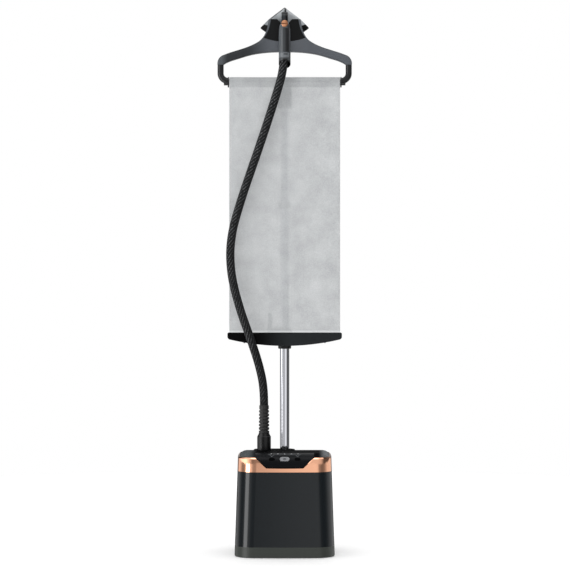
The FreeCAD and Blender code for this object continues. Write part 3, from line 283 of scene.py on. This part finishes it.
def finish_material(name, colour, roughness, variation=0.06, mottle=14.0, wear=0.05, grain=1400.0,
                    relief=0.00004, stretch=(1, 1, 1), **sockets):
    """Principled material whose colour and roughness drift slightly and whose surface has a fine grain."""
    material = bpy.data.materials.new(name)
    material.use_nodes = True
    tree = material.node_tree
    shader = tree.nodes["Principled BSDF"]
    place = add_node(tree, "ShaderNodeTexCoord").outputs["Object"]
    place = add_node(tree, "ShaderNodeMapping", {"Vector": place, "Scale": stretch}).outputs[0]
    drift = add_node(tree, "ShaderNodeTexNoise", {
        "Vector": place, "Scale": mottle, "Detail": 5.0, "Roughness": 0.6}).outputs[0]
    fine = add_node(tree, "ShaderNodeTexNoise", {
        "Vector": place, "Scale": grain, "Detail": 3.0, "Roughness": 0.7}).outputs[0]
    tint = add_node(tree, "ShaderNodeMix", {
        0: drift, 6: shade(colour, 1 - variation), 7: shade(colour, 1 + variation)}, data_type="RGBA")
    tree.links.new(tint.outputs[2], shader.inputs["Base Color"])
    matt = add_node(tree, "ShaderNodeMapRange", {
        "Value": drift, "From Min": 0.3, "From Max": 0.7,
        "To Min": roughness - wear, "To Max": roughness + wear}).outputs[0]
    tree.links.new(matt, shader.inputs["Roughness"])
    bump = add_node(tree, "ShaderNodeBump", {"Height": fine, "Distance": relief, "Strength": 0.6})
    tree.links.new(bump.outputs[0], shader.inputs["Normal"])
    for socket, value in sockets.items():
        shader.inputs[socket.replace("_", " ")].default_value = value
    return material


def painted(material, colour, bounds):
    """Paints one region of a part, for a mark or for painted light and shade: the points beyond every
    bounding plane of (normal, distance, softness).
    """
    tree = material.node_tree
    base = tree.nodes["Principled BSDF"].inputs["Base Color"]
    place = add_node(tree, "ShaderNodeTexCoord").outputs["Object"]
    share = 1.0
    for normal, distance, softness in bounds:
        height = add_node(tree, "ShaderNodeVectorMath", {0: place, 1: normal}, operation="DOT_PRODUCT")
        inside = smooth_step(tree, height.outputs["Value"], distance - softness, distance + softness)
        share = add_node(tree, "ShaderNodeMath", {0: share, 1: inside}, operation="MULTIPLY").outputs[0]
    mix = add_node(tree, "ShaderNodeMix", {
        0: share, 6: base.links[0].from_socket, 7: colour}, data_type="RGBA")
    tree.links.new(mix.outputs[2], base)


def painted_bore(material, colour, x, y, radius):
    """Paints what is nearer than radius to an upright axis. Used for painted shade inside the grip's mouth.
    """
    tree = material.node_tree
    base = tree.nodes["Principled BSDF"].inputs["Base Color"]
    place = add_node(tree, "ShaderNodeTexCoord").outputs["Object"]
    flat = add_node(tree, "ShaderNodeVectorMath", {0: place, 1: (1, 1, 0)}, operation="MULTIPLY").outputs[0]
    reach = add_node(tree, "ShaderNodeVectorMath", {0: flat, 1: (x, y, 0)}, operation="DISTANCE")
    share = smooth_step(tree, reach.outputs["Value"], radius + 0.0003, radius - 0.0003)
    mix = add_node(tree, "ShaderNodeMix", {
        0: share, 6: base.links[0].from_socket, 7: colour}, data_type="RGBA")
    tree.links.new(mix.outputs[2], base)


def make_materials():
    plastic = dict(Specular_IOR_Level=0.35)
    made = {
        "shell_black": finish_material("shell_black", srgb(11, 17, 21), 0.10, 0.05, wear=0.02,
                                       relief=0.000006, **plastic),
        "tray_grey": finish_material("tray_grey", srgb(50, 54, 50), 0.42, 0.05, relief=0.00003, **plastic),
        "copper": finish_material("copper", srgb(246, 184, 150), 0.07, 0.03, mottle=30.0, wear=0.02,
                                  grain=900.0, relief=0.000006, Metallic=1.0),
        "deck_black": finish_material("deck_black", srgb(4, 5, 6), 0.7, 0.05, relief=0.00002,
                                      Specular_IOR_Level=0.02),
        "panel_gloss": finish_material("panel_gloss", srgb(10, 12, 15), 0.34, 0.04, relief=0.000006,
                                       Specular_IOR_Level=0.08),
        "silver": finish_material("silver", srgb(118, 119, 122), 0.45, 0.03, relief=0.00001, Metallic=0.8),
        "light": finish_material("light", srgb(232, 233, 236), 0.5, 0.03, **plastic),
        "print_grey": finish_material("print_grey", srgb(92, 94, 97), 0.6, 0.03, Specular_IOR_Level=0.1),
        "board_green": finish_material("board_green", srgb(28, 84, 52), 0.45),
        "boiler_metal": finish_material("boiler_metal", srgb(176, 178, 180), 0.38, 0.08, Metallic=1.0),
        "inner_plastic": finish_material("inner_plastic", srgb(208, 208, 204), 0.45),
        "smoke": finish_material("smoke", srgb(92, 96, 99), 0.12, 0.04, relief=0.00001,
                                 Transmission_Weight=0.85, IOR=1.46),
        "connector_black": finish_material("connector_black", srgb(9, 9, 11), 0.22, 0.05, **plastic),
        "rubber_black": finish_material("rubber_black", srgb(22, 22, 23), 0.55, 0.08, relief=0.00006),
        "chrome": finish_material("chrome", srgb(236, 237, 244), 0.06, 0.02, mottle=9.0, wear=0.02,
                                  grain=2200.0, relief=0.000003, stretch=(1, 1, 0.05), Metallic=1.0),
        "clamp_black": finish_material("clamp_black", srgb(18, 19, 21), 0.34, 0.06, **plastic),
        "bar_black": finish_material("bar_black", srgb(33, 36, 38), 0.40, 0.06, relief=0.00005,
                                     Specular_IOR_Level=0.08),
        "steel": finish_material("steel", srgb(188, 190, 193), 0.28, 0.05, Metallic=1.0),
        "anthracite": finish_material("anthracite", srgb(33, 36, 40), 0.40, 0.07, mottle=26.0, wear=0.07,
                                      grain=700.0, relief=0.00005, stretch=(0.25, 1, 1), **plastic),
        "panel_black": finish_material("panel_black", srgb(7, 9, 10), 0.44, 0.05, Specular_IOR_Level=0.2),
        "head_grey": finish_material("head_grey", srgb(152, 156, 159), 0.45, 0.05, mottle=22.0,
                                     Specular_IOR_Level=0.12),
        "neck_grey": finish_material("neck_grey", srgb(46, 50, 53), 0.45, 0.05, mottle=22.0,
                                     Specular_IOR_Level=0.08),
        "sole_metal": finish_material("sole_metal", srgb(206, 207, 209), 0.2, 0.03, Metallic=1.0,
                                      stretch=(1, 1, 0.1)),
        "grip_grey": finish_material("grip_grey", srgb(78, 82, 86), 0.38, 0.06, **plastic),
        "mouth_grey": finish_material("mouth_grey", srgb(66, 69, 72), 0.40, 0.06, **plastic),
        "inlay_dark": finish_material("inlay_dark", srgb(52, 55, 58), 0.45, 0.06, relief=0.00005, **plastic),
        "trigger_copper": finish_material("trigger_copper", srgb(222, 158, 120), 0.24, 0.03, mottle=30.0,
                                          wear=0.02, grain=900.0, relief=0.000006, Metallic=1.0),
    }
    # Near black for painted shade on the head and its neck.
    dark = srgb(16, 18, 20)
    # Painted light on the hanger's arms: the right side, the middle, a strip right of the grip and the far
    # left leg are painted lighter, as if lit.
    painted(made["anthracite"], srgb(80, 84, 90), [((1, 0, 0), 0.03, 0.04)])
    painted(made["anthracite"], srgb(85, 89, 95), [((-1, 0, 0), -0.06, 0.045), ((1, 0, 0), -0.070, 0.05)])
    painted(made["anthracite"], srgb(101, 105, 111), [((1, 0, 0), 0.014, 0.004), ((-1, 0, 0), -0.05, 0.03)])
    painted(made["anthracite"], srgb(76, 80, 84), [((-1, 0, 0), 0.180, 0.012)])
    # Painted shade: the bar is darker towards its left end.
    painted(made["bar_black"], srgb(3, 3, 4), [((-1, 0, 0), 0.03, 0.06)])
    # Painted highlights on the deck's rounded shoulders, left and right. They fall on every piece in this
    # finish.
    painted(made["deck_black"], srgb(74, 78, 79), [((-1, 0, 0), 0.095, 0.014)])
    painted(made["deck_black"], srgb(106, 108, 110), [((1, 0, 0), 0.110, 0.012)])
    painted(made["silver"], srgb(62, 64, 67), [((1, 0, 0), -0.0045, 0.0015), ((-1, 0, 0), -0.0045, 0.0015),
                                               ((0, 0, 1), 0.2868, 0.001), ((0, 0, -1), -0.2905, 0.001)])
    # Painted shade in the trigger's slot.
    painted(made["trigger_copper"], srgb(92, 50, 30), [((0, 0, 1), 1.5680, 0.0003),
                                                       ((0, 0, -1), -1.5704, 0.0003)])
    # Painted shade: the trigger is darker on its right side.
    painted(made["trigger_copper"], srgb(150, 100, 72), [((1, 0, 0), 0.0035, 0.0055)])
    # Painted shade inside the grip's mouth: its bore, its lower part and an arch over the opening are painted
    # near black.
    painted_bore(made["mouth_grey"], srgb(5, 5, 6), 0.0, -0.022, 0.0164)
    painted(made["mouth_grey"], srgb(5, 5, 6), [((0, 0, -1), -1.4612, 0.0010)])
    painted(made["mouth_grey"], srgb(5, 5, 6), [((0, 0, -1), -1.4662, 0.0015), ((1, 0, 0), -0.0065, 0.003),
                                                ((-1, 0, 0), -0.0085, 0.003)])
    grip = made["grip_grey"]
    painted(grip, srgb(104, 108, 112), [((0, 0, -1), -1.4835, 0.0008)])
    painted(grip, srgb(36, 38, 41), [((0, 0, 1), 1.4778, 0.0008), ((0, 0, -1), -1.4812, 0.0008),
                                     ((1, 0, 0), -0.003, 0.0015), ((-1, 0, 0), -0.009, 0.0015)])
    # Painted shade down the grip's right side, above and below the trigger.
    painted(grip, srgb(22, 24, 27), [((1, 0, 0), 0.0085, 0.001), ((0, 0, 1), 1.4845, 0.001)])
    painted(grip, srgb(58, 61, 65), [((1, 0, 0), 0.0132, 0.0008), ((0, 0, -1), -1.555, 0.002)])
    head = made["head_grey"]
    # Painted light and shade on the head: its right side is painted lighter, its left side darker.
    painted(head, srgb(164, 168, 171), [((1, 0, 0), 0.008, 0.003)])
    painted(head, srgb(132, 136, 139), [((-1, 0, 0), 0.024, 0.006)])
    painted(head, srgb(7, 8, 9), [((-0.6011, 0, 0.7992), 1.2968, 0.0005), ((-1, 0, 0), -0.001, 0.001),
                                  ((1, 0, 0), -0.046, 0.022)])
    # Painted shade on the head, just right of the neck's top.
    painted(head, dark, [((0, 0, 1), 1.6105, 0.001), ((1, 0, 0), -0.0005, 0.0012),
                         ((-1, 0, 0), -0.0048, 0.0012)])
    for side in (-1, 1):
        painted(head, srgb(9, 9, 10), [((0.3808 * side, 0, -0.9247), -1.4339, 0.0004)])
    neck = made["neck_grey"]
    # Painted light and shade on the neck: its right side and its top under the head are dark, its lower left
    # a touch lighter.
    painted(neck, srgb(10, 11, 13), [((1, 0, 0), 0.0022, 0.0022)])
    painted(neck, dark, [((0, 0, 1), 1.6015, 0.0018)])
    painted(neck, srgb(50, 53, 56), [((0, 0, -1), -1.588, 0.008), ((-1, 0, 0), -0.003, 0.002)])
    # Painted light and shade on the inlay: its right part is darker and a strip on its left lighter.
    painted(made["inlay_dark"], srgb(20, 22, 25), [((1, 0, 0), 0.002, 0.0035)])
    painted(made["inlay_dark"], srgb(84, 87, 90), [((-1, 0, 0), 0.0058, 0.0016)])
    return made


NODE_FINISH = {
    "rubber_feet": "rubber_black", "base_tray": "tray_grey", "left_wheel": "rubber_black",
    "right_wheel": "rubber_black", "wheel_axles": "steel", "base_shell": "shell_black",
    "cord_inlet": "connector_black", "copper_band": "copper", "deck_cover": "deck_black",
    "control_panel": "panel_gloss", "power_button": "silver", "minus_button": "deck_black",
    "plus_button": "deck_black", "level_lights": "light", "control_board": "board_green",
    "boiler": "boiler_metal", "pump": "inner_plastic", "steam_pipe": "inner_plastic",
    "tank_bay": "deck_black", "water_tank": "smoke", "tank_valve": "inner_plastic",
    "tank_lid": "deck_black", "tank_bail": "clamp_black", "filler_cap": "rubber_black",
    "pole_socket": "deck_black", "hose_connector": "connector_black", "hose_boot": "rubber_black",
    "lower_tube": "chrome", "lower_clamp": "clamp_black", "lower_lever": "clamp_black",
    "lower_lever_pin": "steel", "mid_tube": "chrome", "mid_clamp": "clamp_black",
    "mid_lever": "clamp_black", "mid_lever_pin": "steel", "upper_tube": "chrome",
    "bar_front": "bar_black", "bar_back": "bar_black", "screws": "steel", "bar_bracket": "clamp_black",
    "roller_tube": "steel", "roller_ends": "clamp_black", "roller_spring": "steel",
    "cradle_panel": "panel_black", "hanger_housing": "panel_black", "hanger_collar": "clamp_black",
    "roller_brackets": "clamp_black", "head_gasket": "rubber_black", "soleplate": "sole_metal",
    "head_neck": "neck_grey", "steam_trigger": "trigger_copper",
}


def dress_nodes(materials):
    """Gives every CAD node that stays in view its finish."""
    for name, finish in NODE_FINISH.items():
        for slot in nodes[name].material_slots:
            slot.material = materials[finish]


# ---------------------------------------------------------------- mesh helpers

def new_piece(name, vertices, faces, material, body=None):
    """Smooth mesh piece of one material, which rides a body if one is given."""
    mesh = bpy.data.meshes.new(name)
    mesh.from_pydata(vertices, [], faces)
    mesh.validate()
    mesh.materials.append(material)
    mesh.shade_smooth()
    piece = bpy.data.objects.new(name, mesh)
    bpy.context.scene.collection.objects.link(piece)
    if body is not None:
        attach(piece, body)
    return piece


def applied(piece):
    """Bakes the piece's modifiers into its mesh."""
    bpy.context.view_layer.update()
    graph = bpy.context.evaluated_depsgraph_get()
    mesh = bpy.data.meshes.new_from_object(piece.evaluated_get(graph))
    mesh.name = piece.name
    piece.modifiers.clear()
    piece.data = mesh
    mesh.shade_smooth()


def softened(name, node, voxel, rounds, material, body):
    """Stands for a CAD node with an even mesh whose edges are rounded over."""
    piece = bpy.data.objects.new(name, nodes[node].data.copy())
    bpy.context.scene.collection.objects.link(piece)
    remesh = piece.modifiers.new("remesh", "REMESH")
    remesh.mode = "VOXEL"
    remesh.voxel_size = voxel
    smooth = piece.modifiers.new("smooth", "SMOOTH")
    smooth.factor = 0.5
    smooth.iterations = rounds
    applied(piece)
    piece.data.materials.clear()
    piece.data.materials.append(material)
    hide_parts(node)
    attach(piece, body)
    return piece


def grid_faces(rows, columns, closed):
    """Quads of a grid of vertices, row by row. A closed grid joins its last column to its first."""
    faces = []
    for row in range(rows - 1):
        for column in range(columns if closed else columns - 1):
            a = row * columns + column
            b = row * columns + (column + 1) % columns
            faces.append((a, b, b + columns, a + columns))
    return faces


# ---------------------------------------------------------------- steam hose

def hose_path():
    """Points along the hose's NURBS centre line."""
    curve = bpy.data.curves.new("hose_path", "CURVE")
    curve.dimensions = "3D"
    curve.resolution_u = 110
    spline = curve.splines.new("NURBS")
    spline.points.add(len(HOSE_ROUTE) - 1)
    for point, place in zip(spline.points, HOSE_ROUTE):
        point.co = (*place, 1.0)
    spline.order_u = 3
    spline.use_endpoint_u = True
    holder = bpy.data.objects.new("hose_path", curve)
    bpy.context.scene.collection.objects.link(holder)
    bpy.context.view_layer.update()
    graph = bpy.context.evaluated_depsgraph_get()
    mesh = bpy.data.meshes.new_from_object(holder.evaluated_get(graph))
    points = [vertex.co.copy() for vertex in mesh.vertices]
    bpy.data.objects.remove(holder)
    return points


def tube_frames(points):
    """For each point, two directions across the path that don't twist along it."""
    frames = []
    across = Vector((1, 0, 0))
    for i in range(len(points)):
        heading = (points[min(i + 1, len(points) - 1)] - points[max(i - 1, 0)]).normalized()
        across = (across - heading * across.dot(heading)).normalized()
        frames.append((across, heading.cross(across)))
    return frames


def make_hose(material):
    """Hose in a woven sleeve. The strands stand out of the tube's wall. Its flecks carry painted shade:
    fainter on the right side and towards the bottom.
    """
    points = hose_path()
    frames = tube_frames(points)
    sides = 96
    vertices = []
    fleck_and_shade = []
    along = 0.0
    turns = 2 * math.pi / BRAID_STRANDS
    for i, (point, (across, up)) in enumerate(zip(points, frames)):
        if i:
            along += (point - points[i - 1]).length
        for side in range(sides):
            angle = 2 * math.pi * side / sides
            lead = along / BRAID_PITCH * 2 * math.pi
            right = (angle + lead) / turns
            left = (angle - lead) / turns
            over = (math.floor(right) + math.floor(left)) % 4 < 2
            rise = abs(math.sin(math.pi * (right if over else left)))
            radius = HOSE_RADIUS - BRAID_RELIEF * (1 - rise)
            vertices.append(point + (across * math.cos(angle) + up * math.sin(angle)) * radius)
            row = math.cos(2 * math.pi * (along / FLECK_PITCH - FLECK_ROWS * angle / (2 * math.pi)))
            # Painted shade on the flecks: they are made fainter on the hose's right side and towards its
            # bottom.
            side_shade = 0.75 - 0.45 * (across * math.cos(angle) + up * math.sin(angle)).x
            height = min(max((point.z - 0.5) / 0.7, 0.0), 1.0)
            fleck_and_shade.append(rise * max(row + 0.35, 0.0) / 1.35 * side_shade * (0.55 + 0.45 * height))
    faces = grid_faces(len(points), sides, True)
    for row, order in ((0, -1), (len(points) - 1, 1)):
        centre = len(vertices)
        vertices.append(points[row])
        fleck_and_shade.append(0.0)
        for side in range(sides):
            a = row * sides + side
            b = row * sides + (side + 1) % sides
            faces.append((centre, a, b)[::order])
    hose = new_piece("woven_hose", vertices, faces, material)
    hose.data.attributes.new("fleck_and_shade", "FLOAT", "POINT").data.foreach_set("value", fleck_and_shade)
    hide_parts("steam_hose")
    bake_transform(hose)


def hose_material():
    """Black woven sleeve with diagonal rows of lighter flecks, which carry painted shade: fainter on the
    hose's right side and towards its bottom.
    """
    material = finish_material("hose_weave", srgb(18, 19, 20), 0.6, 0.1, mottle=60.0, grain=2600.0,
                               relief=0.0001, Specular_IOR_Level=0.1)
    tree = material.node_tree
    shader = tree.nodes["Principled BSDF"]
    tint = shader.inputs["Base Color"].links[0].from_socket
    fleck_and_shade = add_node(tree, "ShaderNodeAttribute", attribute_name="fleck_and_shade").outputs["Fac"]
    place = add_node(tree, "ShaderNodeTexCoord").outputs["Object"]
    broken = add_node(tree, "ShaderNodeTexNoise", {"Vector": place, "Scale": 330.0, "Detail": 1.0}).outputs[0]
    broken = add_node(tree, "ShaderNodeMapRange", {
        "Value": broken, "From Min": 0.40, "From Max": 0.60, "To Min": 0.05, "To Max": 1.0}).outputs[0]
    # The stored fleck value carries painted shade as well as the fleck pattern.
    light = add_node(tree, "ShaderNodeMapRange", {
        "Value": fleck_and_shade, "From Min": 0.05, "From Max": 0.55, "To Min": 0.0, "To Max": 1.0}).outputs[0]
    light = add_node(tree, "ShaderNodeMath", {0: light, 1: broken}, operation="MULTIPLY").outputs[0]
    fleck = add_node(tree, "ShaderNodeMix", {
        0: light, 6: tint, 7: srgb(100, 101, 103)}, data_type="RGBA")
    tree.links.new(fleck.outputs[2], shader.inputs["Base Color"])
    return material


# ---------------------------------------------------------------- press cloth and its roll

def cloth_material():
    """Pale grey press cloth: a fine twill, thin enough to show a little of what is behind it, and lit a
    little by itself as painted light.
    """
    material = bpy.data.materials.new("cloth_grey")
    material.use_nodes = True
    tree = material.node_tree
    shader = tree.nodes["Principled BSDF"]
    place = add_node(tree, "ShaderNodeTexCoord").outputs["Object"]
    threads = []
    for turn in (0.0, 90.0):
        threads.append(add_node(tree, "ShaderNodeTexWave", {
            "Vector": add_node(tree, "ShaderNodeMapping", {
                "Vector": place, "Rotation": (0, math.radians(turn), 0)}).outputs[0],
            "Scale": 210.0, "Distortion": 1.2, "Detail": 2.0, "Detail Scale": 3.0}).outputs["Fac"])
    weave = add_node(tree, "ShaderNodeMath", {0: threads[0], 1: threads[1]}, operation="MULTIPLY").outputs[0]
    slub = add_node(tree, "ShaderNodeTexNoise", {
        "Vector": place, "Scale": 260.0, "Detail": 4.0, "Roughness": 0.8}).outputs[0]
    mottle = add_node(tree, "ShaderNodeTexNoise", {
        "Vector": place, "Scale": 16.0, "Detail": 5.0, "Roughness": 0.6}).outputs[0]
    speckle = add_node(tree, "ShaderNodeMath", {0: slub, 1: mottle}, operation="ADD").outputs[0]
    tone = add_node(tree, "ShaderNodeMapRange", {
        "Value": speckle, "From Min": 0.65, "From Max": 1.35}).outputs[0]
    tint = add_node(tree, "ShaderNodeMix", {
        0: tone, 6: srgb(152, 154, 156), 7: srgb(187, 189, 190)}, data_type="RGBA").outputs[2]
    height = add_node(tree, "ShaderNodeSeparateXYZ", {0: place}).outputs["Z"]
    # Painted shade: the cloth is a little darker in the band at the top, in front of the roll.
    tint = add_node(tree, "ShaderNodeMix", {
        0: smooth_step(tree, height, 1.3845, 1.3852), 6: tint, 7: (0.93, 0.93, 0.93, 1)},
        data_type="RGBA", blend_type="MULTIPLY").outputs[2]
    tint = add_node(tree, "ShaderNodeMix", {
        0: smooth_step(tree, height, 0.6606, 0.6598), 6: tint, 7: srgb(208, 210, 211)},
        data_type="RGBA").outputs[2]
    # Base colour darkened, since the cloth's painted glow adds to it.
    matt = add_node(tree, "ShaderNodeMix", {
        0: 1.0, 6: tint, 7: (0.85, 0.85, 0.85, 1)}, data_type="RGBA", blend_type="MULTIPLY").outputs[2]
    tree.links.new(matt, shader.inputs["Base Color"])
    relief = add_node(tree, "ShaderNodeMath", {0: weave, 1: slub}, operation="ADD").outputs[0]
    bump = add_node(tree, "ShaderNodeBump", {"Height": relief, "Distance": 0.0003, "Strength": 0.5})
    tree.links.new(bump.outputs[0], shader.inputs["Normal"])
    shader.inputs["Roughness"].default_value = 0.85
    shader.inputs["Specular IOR Level"].default_value = 0.2
    shader.inputs["Sheen Weight"].default_value = 0.15
    shader.inputs["Sheen Roughness"].default_value = 0.5
    shader.inputs["Alpha"].default_value = 0.70
    # Painted light: the cloth glows a little by itself in its own colour.
    tree.links.new(tint, shader.inputs["Emission Color"])
    shader.inputs["Emission Strength"].default_value = 0.42
    return material


def make_cloth(material):
    """Press cloth from the roller down into the bar, with a slight wave and sewn side hems."""
    low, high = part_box("press_cloth")
    bar_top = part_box("bar_front")[1].z
    half = high.x
    middle_y = (low.y + high.y) / 2
    columns = 140
    rows = 300
    start = bar_top - CLOTH_TUCK
    vertices = []
    for face_sign in (-1, 1):
        for row in range(rows):
            z = start + (high.z - start) * row / (rows - 1)
            share = (z - start) / (high.z - start)
            for column in range(columns):
                x = -half + 2 * half * column / (columns - 1)
                sway = math.sin(math.pi * share)
                wave = 0.0009 * math.sin(11.0 * x + 2.1 * z) * sway
                wave += 0.0005 * math.sin(27.0 * x - 5.0 * z + 0.7) * sway
                at_hem = half - abs(x) < CLOTH_HEM
                side = CLOTH_THICKNESS * (1.0 if at_hem else 0.5)
                vertices.append((x, middle_y + wave + face_sign * side, z))
    count = rows * columns
    faces = grid_faces(rows, columns, False)
    faces += [tuple(count + i for i in reversed(face)) for face in grid_faces(rows, columns, False)]
    for row in range(rows - 1):
        for column, order in ((0, 1), (columns - 1, -1)):
            a = row * columns + column
            faces.append((a, a + columns, count + a + columns, count + a)[::order])
    for column in range(columns - 1):
        for row, order in ((0, -1), (rows - 1, 1)):
            a = row * columns + column
            faces.append((a, a + 1, count + a + 1, count + a)[::order])
    cloth = new_piece("press_sheet", vertices, faces, material, "base")
    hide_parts("press_cloth")
    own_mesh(cloth)


def make_roll(material):
    """Cloth wound on its roller: a spiral whose outer turn ends in a small step."""
    low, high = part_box("cloth_roll")
    axis_y = (low.y + high.y) / 2
    axis_z = (low.z + high.z) / 2
    outer = (high.z - low.z) / 2
    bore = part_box("roller_tube")
    inner = (bore[1].z - bore[0].z) / 2
    sides = 96
    columns = 60
    step = 0.0004
    vertices = []
    for radius_kind in ("outer", "inner"):
        for column in range(columns):
            x = low.x + (high.x - low.x) * column / (columns - 1)
            for side in range(sides):
                share = side / sides
                angle = 2 * math.pi * share + math.radians(100)
                drift = 0.0002 * math.sin(23.0 * x + 4 * math.pi * share)
                radius = outer - 0.0003 - step * share + drift if radius_kind == "outer" else inner
                vertices.append((x, axis_y + radius * math.cos(angle), axis_z + radius * math.sin(angle)))
    count = columns * sides
    faces = [face[::-1] for face in grid_faces(columns, sides, True)]
    faces += [tuple(count + i for i in face) for face in grid_faces(columns, sides, True)]
    for side in range(sides):
        following = (side + 1) % sides
        faces.append((side, following, count + following, count + side))
        end = count - sides
        faces.append((end + side, count + end + side, count + end + following, end + following))
    roll = new_piece("wound_cloth", vertices, faces, material, "roller")
    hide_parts("cloth_roll")


# ---------------------------------------------------------------- hanger and steam head

def crowned(piece, reach, depth):
    """Lets the front face fall back towards its outline, so that the arms are gently domed."""
    mesh = piece.data
    count = len(mesh.vertices)
    places = np.empty(count * 3)
    mesh.vertices.foreach_get("co", places)
    places = places.reshape(-1, 3)
    normals = np.empty(count * 3)
    mesh.vertices.foreach_get("normal", normals)
    normals = normals.reshape(-1, 3)
    edge = np.flatnonzero(np.abs(normals[:, 1]) < 0.4)
    tree = KDTree(len(edge))
    for i, index in enumerate(edge):
        tree.insert((places[index, 0], 0, places[index, 2]), i)
    tree.balance()
    for index in np.flatnonzero(normals[:, 1] < -0.5):
        distance = tree.find((places[index, 0], 0, places[index, 2]))[2]
        share = min(distance / reach, 1.0)
        places[index, 1] += depth * (1 - share) ** 2
    mesh.vertices.foreach_set("co", places.ravel())
    mesh.update()


def make_hanger(materials):
    hanger = softened("hanger_arms", "hanger_body", 0.0011, 9, materials["anthracite"],
                      "upper_pole")
    crowned(hanger, 0.012, 0.0022)


def make_head(materials):
    softened("head_cover", "head_shell", 0.0008, 5, materials["head_grey"], "steam_head")


def make_handle(materials):
    softened("grip_front", "handle_front", 0.0007, 4, materials["grip_grey"], "steam_head")
    softened("grip_back", "handle_back", 0.0007, 4, materials["grip_grey"], "steam_head")
    softened("grip_inlay", "handle_inlay", 0.0005, 3, materials["inlay_dark"], "steam_head")
    softened("grip_mouth", "handle_mouth", 0.0006, 4, materials["mouth_grey"], "steam_head")


# ---------------------------------------------------------------- print on the control panel

def make_print(material):
    """Printed scale on the panel's round front: a line with a pointer above each side button."""
    axis_y = -0.0905
    axis_z = 0.262
    line = [(-0.049, 70), (-0.044, 67), (-0.0375, 52), (-0.031, 67), (0.031, 67), (0.0375, 52), (0.044, 67),
            (0.049, 70)]
    half = 0.0008
    low = 0.04096
    top = 0.04112
    stations = []
    for (x0, angle0), (x1, angle1) in zip(line, line[1:]):
        for step in range(8):
            share = step / 8
            stations.append((x0 + (x1 - x0) * share, math.radians(angle0 + (angle1 - angle0) * share)))
    stations.append((line[-1][0], math.radians(line[-1][1])))
    vertices = []
    for i, (x, turn) in enumerate(stations):
        before = stations[max(i - 1, 0)]
        after = stations[min(i + 1, len(stations) - 1)]
        ahead = Vector((after[0] - before[0], (after[1] - before[1]) * top)).normalized()
        for sign, radius in ((1, low), (1, top), (-1, top), (-1, low)):
            angle = turn + sign * half * ahead.x / top
            place_x = x - sign * half * ahead.y
            vertices.append((place_x, axis_y - radius * math.cos(angle), axis_z + radius * math.sin(angle)))
    faces = [face[::-1] for face in grid_faces(len(stations), 4, True)]
    last = len(vertices) - 4
    faces += [(0, 1, 2, 3), (last + 3, last + 2, last + 1, last)]
    new_piece("panel_print", vertices, faces, material, "base")


# ---------------------------------------------------------------- the scene

make_camera()
make_hose(hose_material())
make_studio()
make_floor()
make_pole_cards()
finishes = make_materials()
cloth = cloth_material()
dress_nodes(finishes)
make_cloth(cloth)
make_roll(cloth)
make_hanger(finishes)
make_head(finishes)
make_handle(finishes)
make_print(finishes["print_grey"])
